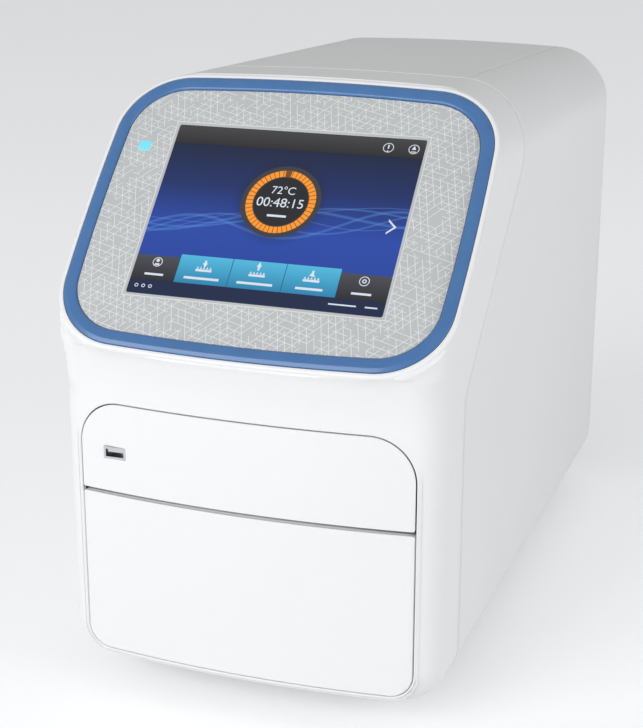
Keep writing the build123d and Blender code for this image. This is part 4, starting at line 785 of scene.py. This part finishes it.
def face_tile(name, half_w, half_h, radius, counts, steps, middle, smooth):
    """A small tile in the display face with softened edges: rounded rectangles, each drawn in by
    its step and at its height over the face, the last of them closed to one point."""
    rows = []
    for grow, out in steps:
        run = soft_box(half_w + grow, -half_h - grow, half_h + grow, radius, radius, counts)
        rows.append(face_point(run[:, 0] + middle[0], run[:, 1] + middle[1], out))
    return sheet_mesh(name, np.stack(rows), capped=True, smooth=smooth)


glass_steps = (0, sunk), (0, -0.0006), (-0.0002, -0.0004), (-0.03, -0.0004), (-0.06, -0.0004)
glass = face_tile(
    "screen_face", glass_w / 2, glass_h / 2, 0.001, (40, 30, 40, 30), glass_steps, (0, 0), 30
)
lit = Finish("lit_screen", roughness=0.12, emission_strength=1.0)
u = lit.length_along((1, 0, 0)) / screen_w + 0.5
v = 0.5 - (lit.length_along(up_face) - height) / screen_h
night = [(0.1, (14, 28, 57)), (0.35, (20, 42, 100)), (0.6, (33, 70, 164)), (1, (28, 60, 150))]
stops = [(place, rgb(*colour)) for place, colour in night]
picture = lit.node("ShaderNodeValToRGB", {"stops": stops}, {0: v})
dial_u, dial_v = 0.5, 0.415
dial_radius, glow_reach, dial_hub = 26.8, 7, 18.2
track, teeth_band, teeth_count, tooth_gap = (18.7, 23.7), (18.9, 23.5), 44, 0.16
button_left, button_right, button_width, button_top, button_foot = 0.172, 0.811, 0.213, 0.765, 0.925
tab_top, bar_foot = 0.785, 0.105


def band(wire, low, high):
    """1 where a value lies between two limits."""
    return (wire > low) * (wire < high)


for k in range(6):
    sway = (u * (5.2 + 0.5 * k) + 0.7 * k).maths("SINE") * (0.035 + 0.008 * k)
    swell = ((u * 2.3 - 1.1).maths("SINE") * 0.07 - 0.5 - 0.012 * k) * -1
    ribbon = 1 - ((v - swell - sway).maths("ABSOLUTE") / (0.004 + 0.004 * (k % 3)))
    picture = lit.mix(ribbon.maths("MAXIMUM", 0) * 0.34, picture, rgb(96, 150, 226))
x, y = (u - dial_u) * (screen_w * 1000), (v - dial_v) * (screen_h * 1000)
radius = (x * x + y * y).maths("SQRT")
turn = x.maths("ARCTAN2", y) / (2 * pi) + 0.5
glow = (1 - (radius - dial_radius) / glow_reach).maths("MAXIMUM", 0).maths("MINIMUM", 1)
picture = lit.mix(glow * 0.35, picture, rgb(20, 24, 44))
picture = lit.mix(radius < dial_radius, picture, rgb(58, 58, 62))
picture = lit.mix(band(radius, *track), picture, rgb(120, 72, 22))
teeth = ((turn * teeth_count).maths("FRACT") > tooth_gap) * band(turn, 0.015, 0.985)
picture = lit.mix(band(radius, *teeth_band) * teeth, picture, rgb(255, 152, 42))
picture = lit.mix(radius < dial_hub, picture, rgb(32, 32, 36))
button = band(v, button_top, button_foot) * band(u, button_left, button_right)
depth = (v - button_top) / (button_foot - button_top)
shade = lit.mix(depth, rgb(78, 182, 218), rgb(34, 128, 172))
gaps = (((u - button_left) / button_width).maths("FRACT") - 0.5).maths("ABSOLUTE") > 0.493
shade = lit.mix(gaps, shade, rgb(24, 90, 130))
picture = lit.mix(button, picture, shade)
tab = band(v, tab_top, button_foot) * ((u < button_left) + (u > button_right))
depth = (v - tab_top) / (button_foot - tab_top)
picture = lit.mix(tab, picture, lit.mix(depth, rgb(70, 72, 78), rgb(34, 36, 42)))
picture = lit.mix(v > button_foot, picture, rgb(17, 32, 68))
bar = lit.mix(v / bar_foot, rgb(62, 62, 64), rgb(36, 36, 38))
picture = lit.mix(v < bar_foot, picture, bar)
lit.set(base_color=(0.005, 0.005, 0.006), emission_color=picture)
glass.data.materials.append(lit.material)
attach(glass, "casing")
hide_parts("touch_glass")

# Screen signs. The picture's icons, bars and figures, as thin flat faces just over the glass that
# glow white. Their sizes are in millimetres, and their places are parts of the picture.
sign_points, sign_faces = [], []


def sign(outline, hollow=0.0):
    """Adds a flat sign to the picture: its outline (x, v) in millimetres filled as a fan round its
    middle, or a band between the outline and the same outline shrunk by the hollow part."""
    outline = np.array(outline, float)
    middle = outline.mean(0)
    first, count = len(sign_points), len(outline)
    sign_points.extend(outline.tolist())
    after = [(k + 1) % count for k in range(count)]
    if hollow:
        sign_points.extend((middle + (outline - middle) * hollow).tolist())
        sign_faces.extend(
            (first + k, first + after[k], first + count + after[k], first + count + k)
            for k in range(count)
        )
    else:
        sign_points.append(middle.tolist())
        sign_faces.extend((first + k, first + after[k], first + count) for k in range(count))


def at(u_part, v_part):
    """A place on the picture, given from its upper left corner, in millimetres from its middle."""
    return np.array([(u_part - 0.5) * screen_w * 1000, (0.5 - v_part) * screen_h * 1000])


def disc(middle, radius, hollow=0.0, count=28):
    """A round sign or a ring."""
    angle = np.arange(count) * 2 * pi / count
    sign(np.stack([np.cos(angle), np.sin(angle)], 1) * radius + middle, hollow)


def bar_sign(middle, width, height):
    """A rectangular sign."""
    sign(np.array([(-0.5, -0.5), (0.5, -0.5), (0.5, 0.5), (-0.5, 0.5)]) * (width, height) + middle)


def arrow(middle, size, turn):
    """A small filled triangle that points the way of the turn, in degrees."""
    angle = radians(turn) + np.array([0, 2.3, -2.3])
    sign(np.stack([np.cos(angle), np.sin(angle)], 1) * size + middle)


for u_part in (0.862, 0.962):
    disc(at(u_part, 0.054), 3.6, 0.86)
bar_sign(at(0.862, 0.048), 0.9, 3.0)
bar_sign(at(0.862, 0.074), 0.9, 0.9)
arrow(at(0.962, 0.047), 1.9, 90)
bar_sign(at(0.962, 0.07), 3.2, 0.7)
for u_part in (0.086, 0.905):
    disc(at(u_part, 0.822), 3.4, 0.84)
    bar_sign(at(u_part, 0.893), 13.0, 1.5)
disc(at(0.086, 0.813), 1.2)
bar_sign(at(0.086, 0.835), 3.2, 1.4)
disc(at(0.905, 0.822), 1.5, 0.5)
for k, turn in enumerate((-90, 90, -30)):
    middle_u = button_left + button_width * (k + 0.5)
    middle = at(middle_u, 0.822)
    bar_sign(middle + (0, -3.2), 11.0, 1.6)
    for place in range(5):
        arrow(middle + (-4.4 + 2.2 * place, -1.4), 1.0, 90)
    bar_sign(middle + (0, 2.4), 1.4, 3.4)
    arrow(middle + (0, 4.6 if turn == 90 else 0.9), 2.2, turn)
    bar_sign(at(middle_u, 0.893), 18.0 if k == 2 else 24.0, 1.7)
tip = at(0.972, 0.51)
for lift in (1, -1):
    sign([tip, tip + (-6, 5.5 * lift), tip + (-6, 4.0 * lift), tip + (-1.8, 0)])
for k in range(3):
    disc(at(0.03 + 0.028 * k, 0.962), 1.3, 0.6, 16)
bar_sign(at(0.845, 0.962), 18.0, 1.0)
bar_sign(at(0.955, 0.962), 8.0, 1.0)
bar_sign(at(dial_u, 0.50), 13.0, 1.6)

for words, size_mm, v_part in (("72\u00b0C", 8.0, 0.352), ("00:48:15", 9.5, 0.425)):
    text = bpy.data.curves.new("figures", "FONT")
    text.body, text.size, text.align_x, text.align_y = words, size_mm, "CENTER", "CENTER"
    shaped = bpy.data.objects.new("figures", text)
    bpy.context.scene.collection.objects.link(shaped)
    bpy.context.view_layer.update()
    outline = shaped.to_mesh()
    flat = np.zeros(len(outline.vertices) * 3)
    outline.vertices.foreach_get("co", flat)
    first = len(sign_points)
    sign_points.extend((flat.reshape(-1, 3)[:, :2] + at(dial_u, v_part)).tolist())
    sign_faces.extend(tuple(first + i for i in face.vertices) for face in outline.polygons)
    bpy.data.objects.remove(shaped)

flat = np.array(sign_points) / 1000
raised = face_point(flat[:, 0], flat[:, 1], -0.00025)
signs_mesh = bpy.data.meshes.new("screen_signs")
signs_mesh.from_pydata(raised.tolist(), [], sign_faces)
signs = dress_mesh("screen_signs", signs_mesh)
for face in signs_mesh.polygons:
    if face.normal.y > 0:
        face.flip()
sign_light = Finish("screen_signs_light", roughness=0.3, emission_strength=1.0)
faint = sign_light.noise(sign_light.place(), 200, 2)
sign_light.set(emission_color=sign_light.mix(faint, rgb(206, 216, 228), rgb(226, 234, 242)))
sign_light.set(base_color=(0.01, 0.01, 0.01))
signs_mesh.materials.append(sign_light.material)
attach(signs, "casing")

# Status light. A square light pipe of clear moulded plastic that snaps into the bezel plate from
# behind, lit cyan by a diode on the display's board.
cyan = Finish("cyan_light_pipe", roughness=0.2, emission_strength=0.9, coat_weight=0.5)
faint = cyan.noise(cyan.place(), 120, 2)
cyan.set(base_color=rgb(90, 150, 160))
cyan.set(emission_color=cyan.mix(faint, rgb(84, 190, 212), rgb(112, 212, 228)))
lens_steps = (0, sunk), (0, flush), (-0.0003, 0.0), (-0.0025, 0.0001)
lens = face_tile(
    "status_lens", 0.0043, 0.0038, 0.0006, (12, 10, 12, 10), lens_steps, (-0.1065, 0.046), 40
)
lens.data.materials.append(cyan.material)
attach(lens, "casing")
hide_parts("status_light")

# Pieces that keep their solids: sheet metal, boards, motors, optics and the drawer's works. Each
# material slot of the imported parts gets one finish, plated, painted, moulded or bare.


def metal(name, colour, roughness=0.32, brush=(400, 400, 25), depth=0.00001):
    """Bare or plated metal: fine marks stretched one way, and gloss that varies with them."""
    finish = Finish(name, metallic=1.0)
    where = finish.node("ShaderNodeMapping", {}, {0: finish.place(), 3: brush})
    marks = finish.noise(where, 1.0, 4, 0.6)
    finish.set(base_color=finish.mix(marks, tuple(c * 0.9 for c in colour), colour))
    finish.set(roughness=finish.spread(marks, roughness - 0.08, roughness + 0.08))
    return finish.set(normal=finish.bump(marks, depth))


def board_finish():
    """Green solder mask over copper tracks: squares of two greens, with tracks as lighter lines."""
    finish = Finish("green_circuit_board", roughness=0.35, coat_weight=0.2)
    where = finish.place()
    squares = {"distance": "MANHATTAN", "feature": "F1"}
    cells = finish.node("ShaderNodeTexVoronoi", squares, {0: where, 2: 160})
    tracks = finish.node("ShaderNodeTexBrick", {}, {0: where, 4: 60}, 1)
    tone = finish.mix(cells * 0.8, rgb(18, 84, 52), rgb(30, 112, 70))
    return finish.set(base_color=finish.mix(tracks * 0.4, tone, rgb(120, 150, 96)))


glass_plate = Finish("filter_glass", roughness=0.06, alpha=0.75, coat_weight=0.6)
tone = glass_plate.noise(glass_plate.place(), 40)
glass_plate.set(base_color=glass_plate.mix(tone, rgb(108, 96, 150), rgb(96, 120, 170)))
slot_finishes = {
    "white_case": white_panel, "white_front": white_front,
    "grey_metal": moulded("grey_painted_sheet", rgb(176, 179, 182), 0.45, 0.00006, 700),
    "blue_trim": blue, "bezel_grey": net, "screen_glass": lit,
    "dark_plastic": moulded("dark_plastic", rgb(44, 45, 48), 0.45),
    "bare_steel": metal("zinc_plated_sheet", rgb(186, 188, 190), 0.38),
    "circuit_board": board_finish(), "cyan_light": cyan,
    "plated_metal": metal("bright_nickel", rgb(206, 208, 212), 0.2),
    "black_rubber": moulded("black_rubber", rgb(26, 26, 27), 0.78, 0.00012, 900),
    "black_metal": moulded("black_anodised", rgb(30, 30, 32), 0.4, 0.00002, 900),
    "mirror_coat": metal("mirror_coat", rgb(230, 232, 235), 0.1, (20, 20, 20), 0.000001),
    "filter_glass": glass_plate,
    "aluminium_part": metal("machined_aluminium", rgb(196, 199, 203), 0.3),
    "motor_metal": metal("motor_can", rgb(120, 122, 126), 0.36),
    "ceramic_white": moulded("white_ceramic", rgb(232, 231, 226), 0.5, 0.00003, 600),
    "supply_case": metal("perforated_steel_case", rgb(168, 171, 174), 0.42),
}
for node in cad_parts.values():
    for slot in node.material_slots:
        name = slot.material.name.split(".")[0]
        slot.material = slot_finishes[name].material

# Floor, sky, lamps and camera. A pale paper floor under an even white sky, two soft lamps, one
# from the front left and one from the right, and the camera at the angle fitted to the photo.
floor_mesh = bpy.data.meshes.new("studio_floor")
floor_mesh.from_pydata([(-6, -6, 0), (6, -6, 0), (6, 6, 0), (-6, 6, 0)], [], [(0, 1, 2, 3)])
floor = bpy.data.objects.new("studio_floor", floor_mesh)
bpy.context.scene.collection.objects.link(floor)
paper = Finish("pale_floor", roughness=0.9)
tone = paper.noise(paper.place(), 3, 2)
paper.set(base_color=paper.mix(tone, rgb(236, 237, 239), rgb(240, 241, 242)))
seen = paper.node("ShaderNodeLightPath")
seen = seen.maths("MAXIMUM", Wire(paper, seen.socket.node.outputs["Is Glossy Ray"]))
paper.set(emission_color=paper.mix(seen, (0, 0, 0), (0.32, 0.32, 0.325)), emission_strength=1.0)
floor_mesh.materials.append(paper.material)

world = bpy.data.worlds.new("studio")
world.use_nodes = True
bpy.context.scene.world = world
world.node_tree.nodes["Background"].inputs[0].default_value = (1, 1, 1, 1)
world.node_tree.nodes["Background"].inputs[1].default_value = 0.42


def lamp(name, place, target, size, power):
    """A square soft lamp that looks at a point."""
    data = bpy.data.lights.new(name, "AREA")
    data.size, data.energy = size, power
    thing = bpy.data.objects.new(name, data)
    thing.location = place
    thing.rotation_euler = (Vector(target) - Vector(place)).to_track_quat("-Z", "Y").to_euler()
    bpy.context.scene.collection.objects.link(thing)


lamp("front_softbox", (-1.2, -2.4, 1.1), (0, 0, 0.2), 1.8, 40)
lamp("side_softbox", (2.6, -0.6, 0.9), (0, 0, 0.2), 1.6, 20)

camera_data = bpy.data.cameras.new("camera")
camera_data.lens, camera_data.sensor_width, camera_data.sensor_fit = 82.3885, 36.0, "VERTICAL"
camera_data.sensor_height = 36.0
camera_data.clip_start, camera_data.clip_end = 0.05, 50
camera = bpy.data.objects.new("camera", camera_data)
yaw, pitch, roll = radians(19.84), radians(17.92), radians(0.064)
ahead = np.array([-sin(yaw) * cos(pitch), cos(yaw) * cos(pitch), -sin(pitch)])
right = np.array([cos(yaw), sin(yaw), 0])
up = np.cross(right, ahead)
right, up = cos(roll) * right + sin(roll) * up, cos(roll) * up - sin(roll) * right
turned = np.eye(4)
turned[:3, 0], turned[:3, 1], turned[:3, 2] = right, up, -ahead
turned[:3, 3] = (0.37966, -1.1451, 0.5560)
camera.matrix_world = Matrix(turned.tolist())
bpy.context.scene.collection.objects.link(camera)
bpy.context.scene.camera = camera
bpy.context.scene.view_settings.view_transform = "Standard"
